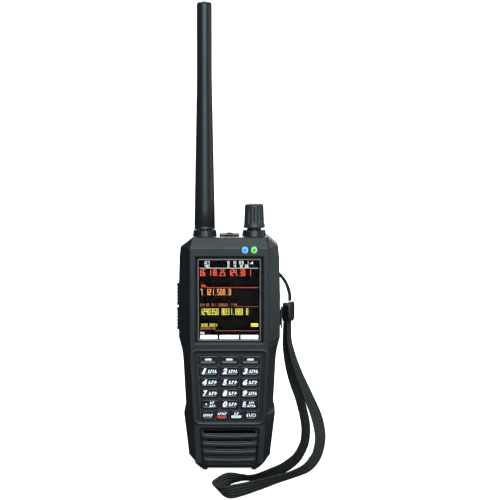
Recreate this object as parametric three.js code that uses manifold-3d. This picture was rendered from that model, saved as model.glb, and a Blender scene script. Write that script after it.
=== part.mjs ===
// Handheld radio receiver, standing on its four feet: millimetres, +Z up, front face towards -Y.
import * as THREE from 'three';
import { mergeVertices } from 'three/addons/utils/BufferGeometryUtils.js';
import Module from 'manifold-3d';

const wasm = await Module();
wasm.setup();

// ---- Driving dimensions -------------------------------------------------------------------
// Case
const BODY_WIDTH = 63;
const BODY_DEPTH = 34.6;
const BODY_TOP = 145.6;
const WALL = 2;
const FOOT_HEIGHT = 1.4;
const FOOT_RADIUS = 1.7;
const FACET_INSET = 7.3; // from the widest side in to the front crease
const FACET_DEPTH = 8;
const REAR_CHAMFER = 5;
const PART_DEPTH = 23; // front face back to the joint between the two shells
// Clearances
const GAP = 0.3;
const KEY_GAP = 0.3;
const TURN_GAP = 0.3;
const PLUG_SWING = 0.9; // round the plug of a hinged cover
// Belt clip
const CLIP_STANDOFF = 9.2; // rear face of the case to the outermost face of the clip
const CLIP_THICKNESS = 1.8;
const CLIP_WIDTH = 17.6;
const CLIP_PIN_RADIUS = 1.25;
const CLIP_BARREL_RADIUS = 2.5;
// Display
const SCREEN_WIDTH = 39;
const SCREEN_HEIGHT = 51;
const SCREEN_RIM = 0.8;
const SCREEN_SINK = 0.9;
const GLASS_THICKNESS = 1;
const LCD_THICKNESS = 3;
const SCREEN_TOP_DROP = 13; // below the top of the case
// Keypad
const KEY_ROWS = 4;
const KEY_COLUMNS = 3;
const LOWER_KEYS = 4;
const PAD_TOP_WIDTH = 40.8;
const PAD_BOTTOM_WIDTH = 36.4;
const PAD_BELOW_SCREEN = 7.6;
const PAD_ABOVE_GRILLE = 4.8;
const KEY_SPACE = 1.05;
const KEY_SINK = 0.9;
const KEY_THICKNESS = 1.5;
const WEB_SINK = 1.7;
const MAT_THICKNESS = 2.4;
// Loudspeaker and its slots
const GRILLE_TOP = 26.7;
const SLOT_WIDTHS = [32, 28, 18]; // from the top slot down
const SLOT_TOP_DROP = 2.2;
const SLOT_PITCH = 4.95;
const SLOT_HEIGHT = 1.8;
const SPEAKER_RADIUS = 11.5;
const SPEAKER_DEPTH = 5.4;
const SPEAKER_GAP = 1; // behind the front wall
// Controls on the top
const TOP_CONTROL_X = 15.3;
const TOP_CONTROL_DEPTH = 14;
const BOSS_HEIGHT = 3.8;
const BOSS_TOP_RADIUS = 6.95;
const BOSS_FOOT_RADIUS = 7.45;
const KNOB_RADIUS = 6.7;
const KNOB_TOP_RADIUS = 5.8;
const KNOB_HEIGHT = 15.2;
const KNOB_FLUTES = 12;
const KNOB_LIFT = 1.2; // from the boss up to the underside of the knob
const SPINDLE_RADIUS = 3;
const BUSHING_RADIUS = 4.3;
const ENCODER_SIZE = 10;
// Antenna
const ANTENNA_HEIGHT = 139.8;
const ANTENNA_ROOT_RADIUS = 6.45;
const ANTENNA_TIP_RADIUS = 4.65;
const ANTENNA_TAPER_HEIGHT = 92;
const ANTENNA_LIFT = 0.4;
const JACK_RADIUS = 3.1;
const FERRULE_RADIUS = 4.8;
// Earphone and data sockets
const EARPHONE_WIDTH = 12;
const EARPHONE_COVER_DEPTH = 10;
const PLUG_RADIUS = 2.2;
const USB_HEIGHT = 8;
const USB_DEPTH = 2.8;
const USB_TOP_DROP = 50.9;
const SIDE_PROUD = 1.2; // side keys and the socket cover stand out by this
// Side keys
const SIDE_KEY_LENGTH = 13.9;
const SIDE_KEY_WIDTH = 7.6;
const SIDE_KEY_SPACE = 1.4;
const SIDE_KEY_TOP_DROP = 29.2;
const SIDE_KEY_BACKSET = 15.4;
// Status lights
const LENS_RADIUS = 2.05;
const LENS_SPACE = 5.6;
const LENS_TOP_DROP = 7.5;
// Battery and its cover
const BATTERY_WIDTH = 36;
const BATTERY_HEIGHT = 76;
const BATTERY_THICKNESS = 13.5;
const BATTERY_LEVEL = 16;
const TRAY_WALL = 1.2;
const COVER_THICKNESS = 2.4;
const COVER_WIDTH = 41;
const COVER_BOTTOM = 6.5;
const LATCH_WIDTH = 7;
const LATCH_TRAVEL = 3;
const LATCH_LEVEL = 11;
// Electronics
const BOARD_THICKNESS = 1.6;
const BOARD_DEPTH = 9.6;
const SHIELD_HEIGHT = 2.8;
// Screws
const SCREW_HEAD_RADIUS = 2;
const SCREW_SHANK_RADIUS = 1.1;
const SCREW_LENGTH = 14;
const SCREW_BOSS_RADIUS = 2.4;
// Wrist strap
const CORD_DIAMETER = 1.6;
const WEBBING_WIDTH = 9.3;
const WEBBING_THICKNESS = 1.3;
const POST_RADIUS = 2.2;
const SLIDER_SIZE = [5.4, 11, 12.4];
const SLIDER_PLACE = [36.9, 4, 96.4];
const SLIDER_TURN = -18;
const POST_LEVEL = 121.5; // where the cord's own points take it round the post

// ---- Places worked out from the dimensions ---------------------------------------------------
const FRONT = -(BODY_DEPTH + CLIP_STANDOFF) / 2;
const BACK = FRONT + BODY_DEPTH;
const PART = FRONT + PART_DEPTH;
const HALF = BODY_WIDTH / 2;
const SCREEN_TOP = BODY_TOP - SCREEN_TOP_DROP;
const SCREEN_BOTTOM = SCREEN_TOP - SCREEN_HEIGHT;
const SCREEN_MIDDLE = (SCREEN_TOP + SCREEN_BOTTOM) / 2;
const PAD_TOP = SCREEN_BOTTOM - PAD_BELOW_SCREEN;
const PAD_BOTTOM = GRILLE_TOP + PAD_ABOVE_GRILLE;
const PAD_HEIGHT = PAD_TOP - PAD_BOTTOM;
const BOARD_FRONT = FRONT + BOARD_DEPTH;
const BOARD_BACK = BOARD_FRONT + BOARD_THICKNESS;
const TOP_CONTROL_Y = FRONT + TOP_CONTROL_DEPTH;
const BOSS_TOP = BODY_TOP + BOSS_HEIGHT;
const SIDE_KEY_Y = FRONT + SIDE_KEY_BACKSET;
const USB_LEVEL = BODY_TOP - USB_TOP_DROP;
const COVER_TOP = BATTERY_LEVEL + BATTERY_HEIGHT + 5.5;
const PIN_Y = BACK + CLIP_STANDOFF - CLIP_THICKNESS - CLIP_BARREL_RADIUS + 0.4;
const PIN_LEVEL = BODY_TOP - 29;
const POST_X = HALF - 4.9;
const POST_Y = BACK - 5.4;

// ---- Materials ----------------------------------------------------------------------------
const finish = (color, roughness, metalness = 0) => ({ color, roughness, metalness });
const CASE_PLASTIC = finish(0x1a1d1f, 0.6);
const RUBBER = finish(0x15181a, 0.85);
const KEY_RUBBER = finish(0x141c24, 0.5);
const MAT_RUBBER = finish(0x232226, 0.8);
const FRAME_GREY = finish(0x6e7074, 0.4, 0.6);
const GLASS = finish(0x08090b, 0.08);
const BOARD_GREEN = finish(0x14432a, 0.5);
const TIN = finish(0xb5b8ba, 0.35, 0.9);
const STEEL = finish(0x8d9093, 0.3, 0.9);
const GOLD = finish(0xc9a24a, 0.3, 0.9);
const WOVEN = finish(0x1d2122, 0.9);

// ---- Shape helpers --------------------------------------------------------------------------
const group = new THREE.Group();

function add(name, geometry, look) {
  const mesh = new THREE.Mesh(geometry, new THREE.MeshStandardMaterial(look));
  mesh.name = name;
  group.add(mesh);
  return mesh;
}

function solid(geometry) {
  const bare = geometry.clone();
  bare.deleteAttribute('normal');
  bare.deleteAttribute('uv');
  const merged = mergeVertices(bare, 1e-4);
  const index = merged.index.array;
  const mesh = new wasm.Mesh({
    numProp: 3,
    vertProperties: new Float32Array(merged.attributes.position.array),
    triVerts: new Uint32Array(index),
  });
  return new wasm.Manifold(mesh);
}

function surface(manifold) {
  const mesh = manifold.getMesh();
  const geometry = new THREE.BufferGeometry();
  geometry.setAttribute('position', new THREE.BufferAttribute(mesh.vertProperties, 3));
  geometry.setIndex(new THREE.BufferAttribute(mesh.triVerts, 1));
  return geometry;
}

function cut(base, ...tools) {
  return tools.reduce((rest, tool) => rest.subtract(solid(tool)), base);
}

function join(base, ...extras) {
  return extras.reduce((whole, extra) => whole.add(solid(extra)), base);
}

function box(x0, x1, y0, y1, z0, z1) {
  const geometry = new THREE.BoxGeometry(x1 - x0, y1 - y0, z1 - z0);
  return geometry.translate((x0 + x1) / 2, (y0 + y1) / 2, (z0 + z1) / 2);
}

function roundedRect(width, height, radius, centreX = 0, centreY = 0) {
  return roundedTrapezoid(width, width, height, radius, centreX, centreY);
}

// An upright trapezoid with rounded corners, wider or narrower at its foot.
function roundedTrapezoid(topWidth, footWidth, height, radius, centreX = 0, centreY = 0) {
  const corners = [
    [-footWidth / 2, -height / 2], [footWidth / 2, -height / 2],
    [topWidth / 2, height / 2], [-topWidth / 2, height / 2],
  ].map(([x, y]) => new THREE.Vector2(x + centreX, y + centreY));
  const shape = new THREE.Shape();
  corners.forEach((corner, i) => {
    const before = corners[(i + 3) % 4];
    const after = corners[(i + 1) % 4];
    const start = corner.clone().add(before.clone().sub(corner).setLength(radius));
    const end = corner.clone().add(after.clone().sub(corner).setLength(radius));
    if (i === 0) shape.moveTo(start.x, start.y);
    else shape.lineTo(start.x, start.y);
    shape.quadraticCurveTo(corner.x, corner.y, end.x, end.y);
  });
  shape.closePath();
  return shape;
}

// Extrudes an X-Z outline along Y, from y0 (front) to y1 (back).
function plate(shape, y0, y1, curveSegments = 2, bevel = 0) {
  const settings = { depth: y1 - y0 - 2 * bevel, curveSegments, bevelEnabled: bevel > 0 };
  if (bevel > 0) Object.assign(settings, { bevelSize: bevel, bevelThickness: bevel,
    bevelOffset: -bevel, bevelSegments: 1 });
  const geometry = new THREE.ExtrudeGeometry(shape, settings);
  return geometry.rotateX(Math.PI / 2).translate(0, y1 - bevel, 0);
}

// Extrudes a Y-Z outline along X, from x0 to x1.
function sideProfile(points, x0, x1) {
  const shape = new THREE.Shape(points.map(([y, z]) => new THREE.Vector2(y, z)));
  const geometry = new THREE.ExtrudeGeometry(shape, { depth: x1 - x0, bevelEnabled: false });
  return geometry.rotateX(Math.PI / 2).rotateZ(Math.PI / 2).translate(x0, 0, 0);
}

function turned(profile, segments, x, y, z = 0) {
  const points = profile.map(([radius, height]) => new THREE.Vector2(radius, height));
  return new THREE.LatheGeometry(points, segments).rotateX(Math.PI / 2).translate(x, y, z);
}

function rod(radius, z0, z1, segments, x, y) {
  return turned([[0, z0], [radius, z0], [radius, z1], [0, z1]], segments, x, y);
}

// A round rod along Y, from y0 to y1.
function crossRod(radius, y0, y1, segments, x, z) {
  const geometry = new THREE.CylinderGeometry(radius, radius, y1 - y0, segments);
  return geometry.translate(x, (y0 + y1) / 2, z);
}

// Closed body through a stack of level rings with the same number of corners each.
function loft(rings) {
  const count = rings[0].length;
  const positions = rings.flat(2);
  const index = [];
  for (let r = 0; r < rings.length - 1; r++) {
    for (let i = 0; i < count; i++) {
      const a = r * count + i;
      const b = r * count + (i + 1) % count;
      index.push(a, b, b + count, a, b + count, a + count);
    }
  }
  const last = (rings.length - 1) * count;
  for (let i = 1; i < count - 1; i++) {
    index.push(0, i + 1, i, last, last + i, last + i + 1);
  }
  const geometry = new THREE.BufferGeometry();
  geometry.setAttribute('position', new THREE.Float32BufferAttribute(positions, 3));
  geometry.setIndex(index);
  return geometry;
}

// ---- Case ---------------------------------------------------------------------------------
// Outline stations from the sole up: height, inset of the side from the widest place, extra inset
// of the front crease, and how far the front and back faces lean in there.
const WAIST = PAD_TOP + 6.5;
const STATIONS = [
  [FOOT_HEIGHT, 13.3, 3.4, 3.4, 2],
  [5, 9.6, 3.2, 0, 0],
  [9, 6.2, 3, 0, 0],
  [14.6, 5.6, 2.8, 0, 0],
  [35.6, 3.1, 1.9, 0, 0],
  [38.8, 4, 1.8, 0, 0],
  [42, 4.3, 1.7, 0, 0],
  [WAIST - 12.6, 2.9, 1.1, 0, 0],
  [WAIST - 7.6, 2.5, 0.6, 0, 0],
  [WAIST - 4.4, 1.9, 0.2, 0, 0],
  [WAIST, 0.8, 0, 0, 0],
  [WAIST + 2.5, 0.1, 0, 0, 0],
  [BODY_TOP - 37.6, 0, 0, 0, 0],
  [BODY_TOP - 12.6, 0.6, 0, 0, 0],
  [BODY_TOP - 6.3, 1.3, 0, 0, 0],
  [BODY_TOP, 8.4, 1.4, 3, 2],
];

function caseRing([level, sideInset, creaseInset, frontLean, backLean], inset, lift = 0) {
  const side = HALF - sideInset - inset;
  const crease = Math.min(HALF - FACET_INSET - creaseInset - inset * 0.6, side - 0.5);
  const front = FRONT + frontLean + inset;
  const back = BACK - backLean - inset;
  const shoulder = Math.min(front + FACET_DEPTH, back - REAR_CHAMFER - 1);
  const right = [[crease, front], [side, shoulder], [side, back - REAR_CHAMFER],
    [side - REAR_CHAMFER, back]];
  const left = right.map(([x, y]) => [-x, y]).reverse();
  return [...right, ...left].map(([x, y]) => [x, y, level + lift]);
}

function caseBody(inset) {
  const last = STATIONS.length - 1;
  return loft(STATIONS.map((station, i) => {
    const lift = i === 0 ? inset : i === last ? -inset : 0;
    return caseRing(station, inset, lift);
  }));
}

const mirrored = (x) => [-x, x];
const bossProfile = [[0, BODY_TOP - 1], [BOSS_FOOT_RADIUS, BODY_TOP - 1],
  [BOSS_FOOT_RADIUS, BODY_TOP], [BOSS_TOP_RADIUS, BOSS_TOP], [0, BOSS_TOP]];
const shellOutside = mirrored(TOP_CONTROL_X).reduce(
  (whole, x) => join(whole, turned(bossProfile, 24, x, TOP_CONTROL_Y)),
  solid(caseBody(0)),
);
const frontSpace = solid(box(-HALF * 2, HALF * 2, FRONT * 2, PART, -10, BOSS_TOP + 5));
const rearSpace = solid(box(-HALF * 2, HALF * 2, PART + GAP, BACK * 3, -10, BOSS_TOP + 5));

// Case screws: two under the shoulders and two beside the foot of the battery.
const SCREW_PLACES = [[-(HALF - 8.4), BODY_TOP - 12.6], [HALF - 8.4, BODY_TOP - 12.6],
  [-(HALF - 15.4), COVER_BOTTOM + 4.8], [HALF - 15.4, COVER_BOTTOM + 4.8]];

function frontShell() {
  const hollow = solid(caseBody(WALL));
  let shell = shellOutside.intersect(frontSpace).subtract(hollow.intersect(frontSpace));
  for (const [x, z] of SCREW_PLACES) {
    shell = join(shell, crossRod(SCREW_BOSS_RADIUS, FRONT + WALL + 5, PART, 10, x, z),
      box(x - 1, x + 1, FRONT + WALL - 0.5, FRONT + WALL + 5.5, z - 1, z + 1));
    shell = cut(shell, crossRod(SCREW_SHANK_RADIUS + GAP, PART - SCREW_LENGTH, PART + 1, 8, x, z));
  }
  // Display window, widened towards the face by a sloping surround.
  shell = cut(shell,
    box(-SCREEN_WIDTH / 2 - GAP, SCREEN_WIDTH / 2 + GAP, FRONT - 1, FRONT + WALL + 1,
      SCREEN_BOTTOM - GAP, SCREEN_TOP + GAP),
    loftBetween(SCREEN_WIDTH + 3.4, SCREEN_HEIGHT + 3.4, SCREEN_WIDTH + 2 * GAP,
      SCREEN_HEIGHT + 2 * GAP, FRONT, FRONT + SCREEN_SINK, SCREEN_MIDDLE));
  shell = cut(shell, plate(padOutline(GAP), FRONT - 1, FRONT + WALL + 1));
  SLOT_WIDTHS.forEach((width, i) => {
    shell = cut(shell, slotCutter(width, GRILLE_TOP - SLOT_TOP_DROP - i * SLOT_PITCH));
  });
  for (const x of [TOP_CONTROL_X, TOP_CONTROL_X - LENS_SPACE]) {
    shell = cut(shell, crossRod(LENS_RADIUS + GAP, FRONT - 1, FRONT + WALL + 3, 16, x,
      BODY_TOP - LENS_TOP_DROP));
  }
  shell = cut(shell,
    rod(JACK_RADIUS + GAP, BODY_TOP - 5, BOSS_TOP + 1, 16, -TOP_CONTROL_X, TOP_CONTROL_Y),
    rod(BUSHING_RADIUS + GAP, BODY_TOP - 5, BOSS_TOP + 1, 16, TOP_CONTROL_X, TOP_CONTROL_Y),
    rod(PLUG_RADIUS + PLUG_SWING, BODY_TOP - 5, BODY_TOP + 1, 12, 0, TOP_CONTROL_Y),
    sideOpening(-HALF - 2, -HALF + WALL + 2, SIDE_KEY_Y, surroundMiddle(),
      SURROUND_WIDTH / 2 + GAP, SURROUND_LENGTH / 2 + GAP),
    sideOpening(HALF - WALL - 2, HALF + 2, USB_Y, USB_LEVEL, USB_DEPTH / 2 + 1,
      USB_HEIGHT / 2 + 0.6 + PLUG_SWING));
  for (const x of mirrored(TOP_CONTROL_X)) {
    shell = join(shell, rod(FOOT_RADIUS, 0, FOOT_HEIGHT + 0.8, 10, x, FRONT + 6));
  }
  return shell;
}

// A sloping frame cutter: one rectangle at the face, a smaller one further in.
function loftBetween(faceWidth, faceHeight, innerWidth, innerHeight, y0, y1, middle) {
  const ring = (width, height, y) => [
    [-width / 2, y, middle - height / 2], [width / 2, y, middle - height / 2],
    [width / 2, y, middle + height / 2], [-width / 2, y, middle + height / 2],
  ].reverse();
  const reach = 0.5;
  const slope = (faceWidth - innerWidth) / (y1 - y0) * reach;
  const outer = ring(faceWidth + slope, faceHeight + slope, y0 - reach);
  return loft([outer, ring(innerWidth, innerHeight, y1)]);
}

function padOutline(grow) {
  return roundedTrapezoid(PAD_TOP_WIDTH + 2 * grow, PAD_BOTTOM_WIDTH + 2 * grow,
    PAD_HEIGHT + 2 * grow, 2.2, 0, (PAD_TOP + PAD_BOTTOM) / 2);
}

function slotCutter(width, level) {
  return box(-width / 2, width / 2, FRONT - 1, FRONT + WALL + 1, level - SLOT_HEIGHT / 2,
    level + SLOT_HEIGHT / 2);
}

function sideOpening(x0, x1, y, z, halfDepth, halfHeight) {
  return box(x0, x1, y - halfDepth, y + halfDepth, z - halfHeight, z + halfHeight);
}

const SURROUND_MARGIN = 1.4;
const SURROUND_WIDTH = SIDE_KEY_WIDTH + 2 * SURROUND_MARGIN;
const SURROUND_LENGTH = 2 * SIDE_KEY_LENGTH + SIDE_KEY_SPACE + 2 * SURROUND_MARGIN;
const USB_Y = BOARD_BACK + GAP + USB_DEPTH / 2;

function surroundMiddle() {
  return BODY_TOP - SIDE_KEY_TOP_DROP - SIDE_KEY_LENGTH - SIDE_KEY_SPACE / 2;
}

// Battery bay, cover recess and lanyard notch.
const BAY_HALF = BATTERY_WIDTH / 2 + GAP;
const BAY_BOTTOM = BATTERY_LEVEL - GAP;
const BAY_TOP = BATTERY_LEVEL + BATTERY_HEIGHT + GAP;
const BATTERY_BACK = BACK - COVER_THICKNESS - GAP;
const BATTERY_FRONT = BATTERY_BACK - BATTERY_THICKNESS;
const NOTCH_HALF_HEIGHT = 3.5;
const NOTCH_REACH = POST_RADIUS + CORD_DIAMETER + 0.5;

function rearShell() {
  const hollow = solid(caseBody(WALL));
  let shell = shellOutside.intersect(rearSpace).subtract(hollow);
  const ledge = solid(box(-COVER_WIDTH / 2 - 2, COVER_WIDTH / 2 + 2, BATTERY_BACK - 1.9, BACK,
    FOOT_HEIGHT, COVER_TOP + 2));
  shell = shell.add(ledge.intersect(shellOutside));
  shell = join(shell, box(-BAY_HALF - TRAY_WALL, BAY_HALF + TRAY_WALL,
    BATTERY_FRONT - GAP - TRAY_WALL, BATTERY_BACK, BAY_BOTTOM - TRAY_WALL, BAY_TOP + TRAY_WALL));
  const block = solid(box(POST_X - NOTCH_REACH - 1.5, HALF * 2, PART + GAP, BACK * 2,
    POST_LEVEL - NOTCH_HALF_HEIGHT - 2, POST_LEVEL + NOTCH_HALF_HEIGHT + 2));
  shell = shell.add(block.intersect(shellOutside));
  shell = cut(shell,
    box(-BAY_HALF, BAY_HALF, BATTERY_FRONT - GAP, BACK + 1, BAY_BOTTOM, BAY_TOP),
    box(-COVER_WIDTH / 2 - GAP, COVER_WIDTH / 2 + GAP, BATTERY_BACK, BACK + 1, -1,
      COVER_TOP + GAP),
    box(POST_X - NOTCH_REACH, HALF * 2, POST_Y - NOTCH_REACH, BACK * 2,
      POST_LEVEL - NOTCH_HALF_HEIGHT, POST_LEVEL + NOTCH_HALF_HEIGHT));
  shell = join(shell, rod(POST_RADIUS, POST_LEVEL - NOTCH_HALF_HEIGHT - 1,
    POST_LEVEL + NOTCH_HALF_HEIGHT + 1, 12, POST_X, POST_Y));
  for (const [x, z] of SCREW_PLACES) {
    const seat = screwSeat(z);
    shell = join(shell, crossRod(SCREW_BOSS_RADIUS, PART + GAP, seat + 0.2, 10, x, z));
    shell = cut(shell, crossRod(SCREW_SHANK_RADIUS + GAP, PART - 1, BACK + 1, 8, x, z),
      crossRod(SCREW_HEAD_RADIUS + GAP, seat, BACK + 1, 10, x, z));
  }
  for (const x of mirrored(TOP_CONTROL_X)) {
    shell = join(shell, rod(FOOT_RADIUS, 0, FOOT_HEIGHT + 0.8, 10, x, BATTERY_BACK - 4));
  }
  return shell;
}

// The face that a screw head rests on: sunk in the rear face, or in the ledge under the cover.
function screwSeat(level) {
  return level > COVER_TOP ? BACK - 1.6 : BATTERY_BACK - 1.5;
}

add('front_shell', surface(frontShell()), CASE_PLASTIC);
add('rear_shell', surface(rearShell()), CASE_PLASTIC);

// Seal in the joint between the shells: a thin frame just inside the wall.
function shellGasket() {
  const outer = solid(caseBody(WALL + 0.4));
  const inner = solid(caseBody(WALL + 1.5));
  const slice = solid(box(-HALF, HALF, PART - 1.2, PART + 1, 0, BODY_TOP));
  let ring = outer.subtract(inner).intersect(slice);
  for (const [x, z] of SCREW_PLACES) {
    ring = cut(ring, crossRod(SCREW_BOSS_RADIUS + GAP, PART - 3, PART + 3, 10, x, z));
  }
  return cut(ring, box(POST_X - NOTCH_REACH - 2, HALF, PART, PART + 2,
    POST_LEVEL - NOTCH_HALF_HEIGHT - 2.4, POST_LEVEL + NOTCH_HALF_HEIGHT + 2.4));
}

add('shell_gasket', surface(shellGasket()), RUBBER);

SCREW_PLACES.forEach(([x, z], i) => {
  const top = screwSeat(z) + GAP / 3 + 1.4;
  const profile = [[0, 0], [SCREW_HEAD_RADIUS, 0], [SCREW_HEAD_RADIUS, 1.1], [SCREW_SHANK_RADIUS, 1.5],
    [SCREW_SHANK_RADIUS, SCREW_LENGTH + 1], [0, SCREW_LENGTH + 1]];
  const screw = new THREE.LatheGeometry(
    profile.map(([r, h]) => new THREE.Vector2(r, h)), 10).rotateX(Math.PI);
  add(`case_screw_${i + 1}`, screw.translate(x, top, z), STEEL);
});

// ---- Display --------------------------------------------------------------------------------
const frameOuter = roundedRect(SCREEN_WIDTH, SCREEN_HEIGHT, 0.8, 0, SCREEN_MIDDLE);
const frameOpening = roundedRect(SCREEN_WIDTH - 2 * SCREEN_RIM, SCREEN_HEIGHT - 2 * SCREEN_RIM,
  0.5, 0, SCREEN_MIDDLE);
frameOuter.holes.push(new THREE.Path(frameOpening.getPoints(2).reverse()));
const FRAME_FRONT = FRONT + SCREEN_SINK;
const FRAME_DEPTH = 1.6;
add('display_frame', plate(frameOuter, FRAME_FRONT, FRAME_FRONT + FRAME_DEPTH), FRAME_GREY);

const glassInset = 2 * (SCREEN_RIM + GAP);
add('display_glass', plate(
  roundedRect(SCREEN_WIDTH - glassInset, SCREEN_HEIGHT - glassInset, 0.4, 0, SCREEN_MIDDLE),
  FRAME_FRONT + 0.3, FRAME_FRONT + 0.3 + GLASS_THICKNESS, 1), GLASS);

const LCD_FRONT = FRAME_FRONT + FRAME_DEPTH + GAP;
add('lcd_panel', box(-SCREEN_WIDTH / 2, SCREEN_WIDTH / 2, LCD_FRONT, LCD_FRONT + LCD_THICKNESS,
  SCREEN_BOTTOM, SCREEN_TOP), GLASS);

const LENS_FLANGE = WALL + 1.5; // clear of the wall where the face leans back
[['status_lens_left', TOP_CONTROL_X - LENS_SPACE, 0x2d8be0], ['status_lens_right', TOP_CONTROL_X,
  0x35b045]].forEach(([name, x, color]) => {
  const profile = [[0, 0.1], [LENS_RADIUS, 0.1], [LENS_RADIUS, LENS_FLANGE],
    [LENS_RADIUS + 0.6, LENS_FLANGE], [LENS_RADIUS + 0.6, LENS_FLANGE + 1.2], [0, LENS_FLANGE + 1.2]];
  const lens = new THREE.LatheGeometry(profile.map(([r, h]) => new THREE.Vector2(r, h)), 16);
  add(name, lens.translate(x, FRONT, BODY_TOP - LENS_TOP_DROP), finish(color, 0.2));
});

// ---- Keypad ---------------------------------------------------------------------------------
// The rows are one of soft keys, four of number keys and one of four narrower keys.
const ROWS = KEY_ROWS + 2;
const ROW_PITCH = (PAD_HEIGHT - 1.1) / ROWS;
const KEY_HEIGHT = ROW_PITCH - KEY_SPACE;
const SOFT_KEY_TRIM = 0.7;
const KEY_MARGIN = 1.2;
const keyPlaces = [];
for (let row = 0; row < ROWS; row++) {
  const level = PAD_TOP - 0.9 - (row + 0.5) * ROW_PITCH;
  const along = (PAD_TOP - level) / PAD_HEIGHT;
  const padWidth = PAD_TOP_WIDTH + (PAD_BOTTOM_WIDTH - PAD_TOP_WIDTH) * along;
  const count = row === ROWS - 1 ? LOWER_KEYS : KEY_COLUMNS;
  const pitch = (padWidth - 2 * KEY_MARGIN + KEY_SPACE) / count;
  for (let column = 0; column < count; column++) {
    keyPlaces.push({ row, column, level, x: (column - (count - 1) / 2) * pitch,
      width: pitch - KEY_SPACE, height: KEY_HEIGHT - (row === 0 ? SOFT_KEY_TRIM : 0) });
  }
}
const NUMBER_KEY_NAMES = ['1', '2', '3', '4', '5', '6', '7', '8', '9', 'point', '0', 'enter'];

function keyName({ row, column }) {
  if (row === 0) return `soft_key_${column + 1}`;
  if (row === ROWS - 1) return `function_key_${column + 1}`;
  return `key_${NUMBER_KEY_NAMES[(row - 1) * KEY_COLUMNS + column]}`;
}

const KEY_TRAVEL_SPACE = 0.7;
let mat = solid(plate(padOutline(0), FRONT + WEB_SINK, FRONT + WALL + GAP + 0.2));
mat = join(mat, plate(padOutline(1.2), FRONT + WALL + GAP, FRONT + WEB_SINK + MAT_THICKNESS));
for (const key of keyPlaces) {
  const radius = Math.min(1.5, key.height / 3);
  const pocket = roundedRect(key.width + 2 * KEY_GAP, key.height + 2 * KEY_GAP, radius, key.x, key.level);
  mat = cut(mat, plate(pocket, FRONT, FRONT + KEY_SINK + KEY_THICKNESS + KEY_TRAVEL_SPACE));
  add(keyName(key), plate(roundedRect(key.width, key.height, radius, key.x, key.level),
    FRONT + KEY_SINK, FRONT + KEY_SINK + KEY_THICKNESS, 2, 0.3), KEY_RUBBER);
}
add('keypad_mat', surface(mat), MAT_RUBBER);

// ---- Side keys --------------------------------------------------------------------------------
function sideBlock(x0, x1, width, length, level) {
  return box(x0, x1, SIDE_KEY_Y - width / 2, SIDE_KEY_Y + width / 2, level - length / 2,
    level + length / 2);
}

let surround = solid(sideBlock(-HALF + 0.2, -HALF + WALL + 0.6, SURROUND_WIDTH, SURROUND_LENGTH,
  surroundMiddle()));
const sideKeyOffset = (SIDE_KEY_LENGTH + SIDE_KEY_SPACE) / 2;
for (const side of [1, -1]) {
  const level = surroundMiddle() + side * sideKeyOffset;
  surround = cut(surround, sideBlock(-HALF - 1, -HALF + WALL + 1.6, SIDE_KEY_WIDTH + 2 * KEY_GAP,
    SIDE_KEY_LENGTH + 2 * KEY_GAP, level));
  let key = solid(sideBlock(-HALF - SIDE_PROUD, -HALF + WALL, SIDE_KEY_WIDTH, SIDE_KEY_LENGTH,
    level));
  for (let ridge = -2; ridge <= 2; ridge++) {
    const groove = sideBlock(-HALF - SIDE_PROUD - 1, -HALF - SIDE_PROUD + 0.4, SIDE_KEY_WIDTH + 1, 0.9,
      level + ridge * 2.2);
    key = cut(key, groove);
  }
  add(side > 0 ? 'side_key_upper' : 'side_key_lower', surface(key), KEY_RUBBER);
}
add('side_key_surround', surface(surround), RUBBER);

// ---- Knob, its spindle and the encoder -----------------------------------------------------------
const KNOB_BASE = BOSS_TOP + KNOB_LIFT;
const KNOB_CEILING = KNOB_BASE + KNOB_HEIGHT - 3.4;
const knobOutline = [[0, KNOB_BASE], [KNOB_RADIUS, KNOB_BASE], [KNOB_RADIUS, KNOB_BASE + 1.4],
  [KNOB_RADIUS - 0.3, KNOB_BASE + 2.2], [KNOB_TOP_RADIUS, KNOB_BASE + KNOB_HEIGHT - 1.1],
  [KNOB_TOP_RADIUS - 1, KNOB_BASE + KNOB_HEIGHT - 0.25], [0, KNOB_BASE + KNOB_HEIGHT]];
let knob = solid(turned(knobOutline, 24, 0, 0));
for (let i = 0; i < KNOB_FLUTES; i++) {
  const flute = box(-0.7, 0.7, KNOB_TOP_RADIUS - 0.1, KNOB_RADIUS + 2, KNOB_BASE + 2.2,
    KNOB_BASE + KNOB_HEIGHT);
  knob = cut(knob, flute.rotateZ((i + 0.5) * 2 * Math.PI / KNOB_FLUTES));
}
knob = cut(knob,
  rod(SPINDLE_RADIUS + GAP, KNOB_BASE - 1, KNOB_CEILING, 14, 0, 0),
  rod(BUSHING_RADIUS + 0.6, KNOB_BASE - 1, KNOB_BASE + 1.6, 16, 0, 0));
add('knob', surface(knob), RUBBER).position.set(TOP_CONTROL_X, TOP_CONTROL_Y, 0);

const ENCODER_TOP = BODY_TOP - WALL - GAP;
const ENCODER_BASE = ENCODER_TOP - 8;
const half = ENCODER_SIZE / 2;
let encoder = solid(box(-half, half, -half, half, ENCODER_BASE, ENCODER_TOP));
encoder = join(encoder, rod(BUSHING_RADIUS, ENCODER_TOP - 1, KNOB_BASE + 0.5, 16, 0, 0));
encoder = cut(encoder, rod(SPINDLE_RADIUS + TURN_GAP, ENCODER_BASE + 2, KNOB_BASE + 2, 14, 0, 0));
add('encoder', surface(encoder), TIN).position.set(TOP_CONTROL_X, TOP_CONTROL_Y, 0);
add('knob_spindle', rod(SPINDLE_RADIUS, ENCODER_BASE + 3, KNOB_CEILING - GAP, 14, TOP_CONTROL_X,
  TOP_CONTROL_Y), STEEL);

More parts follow.
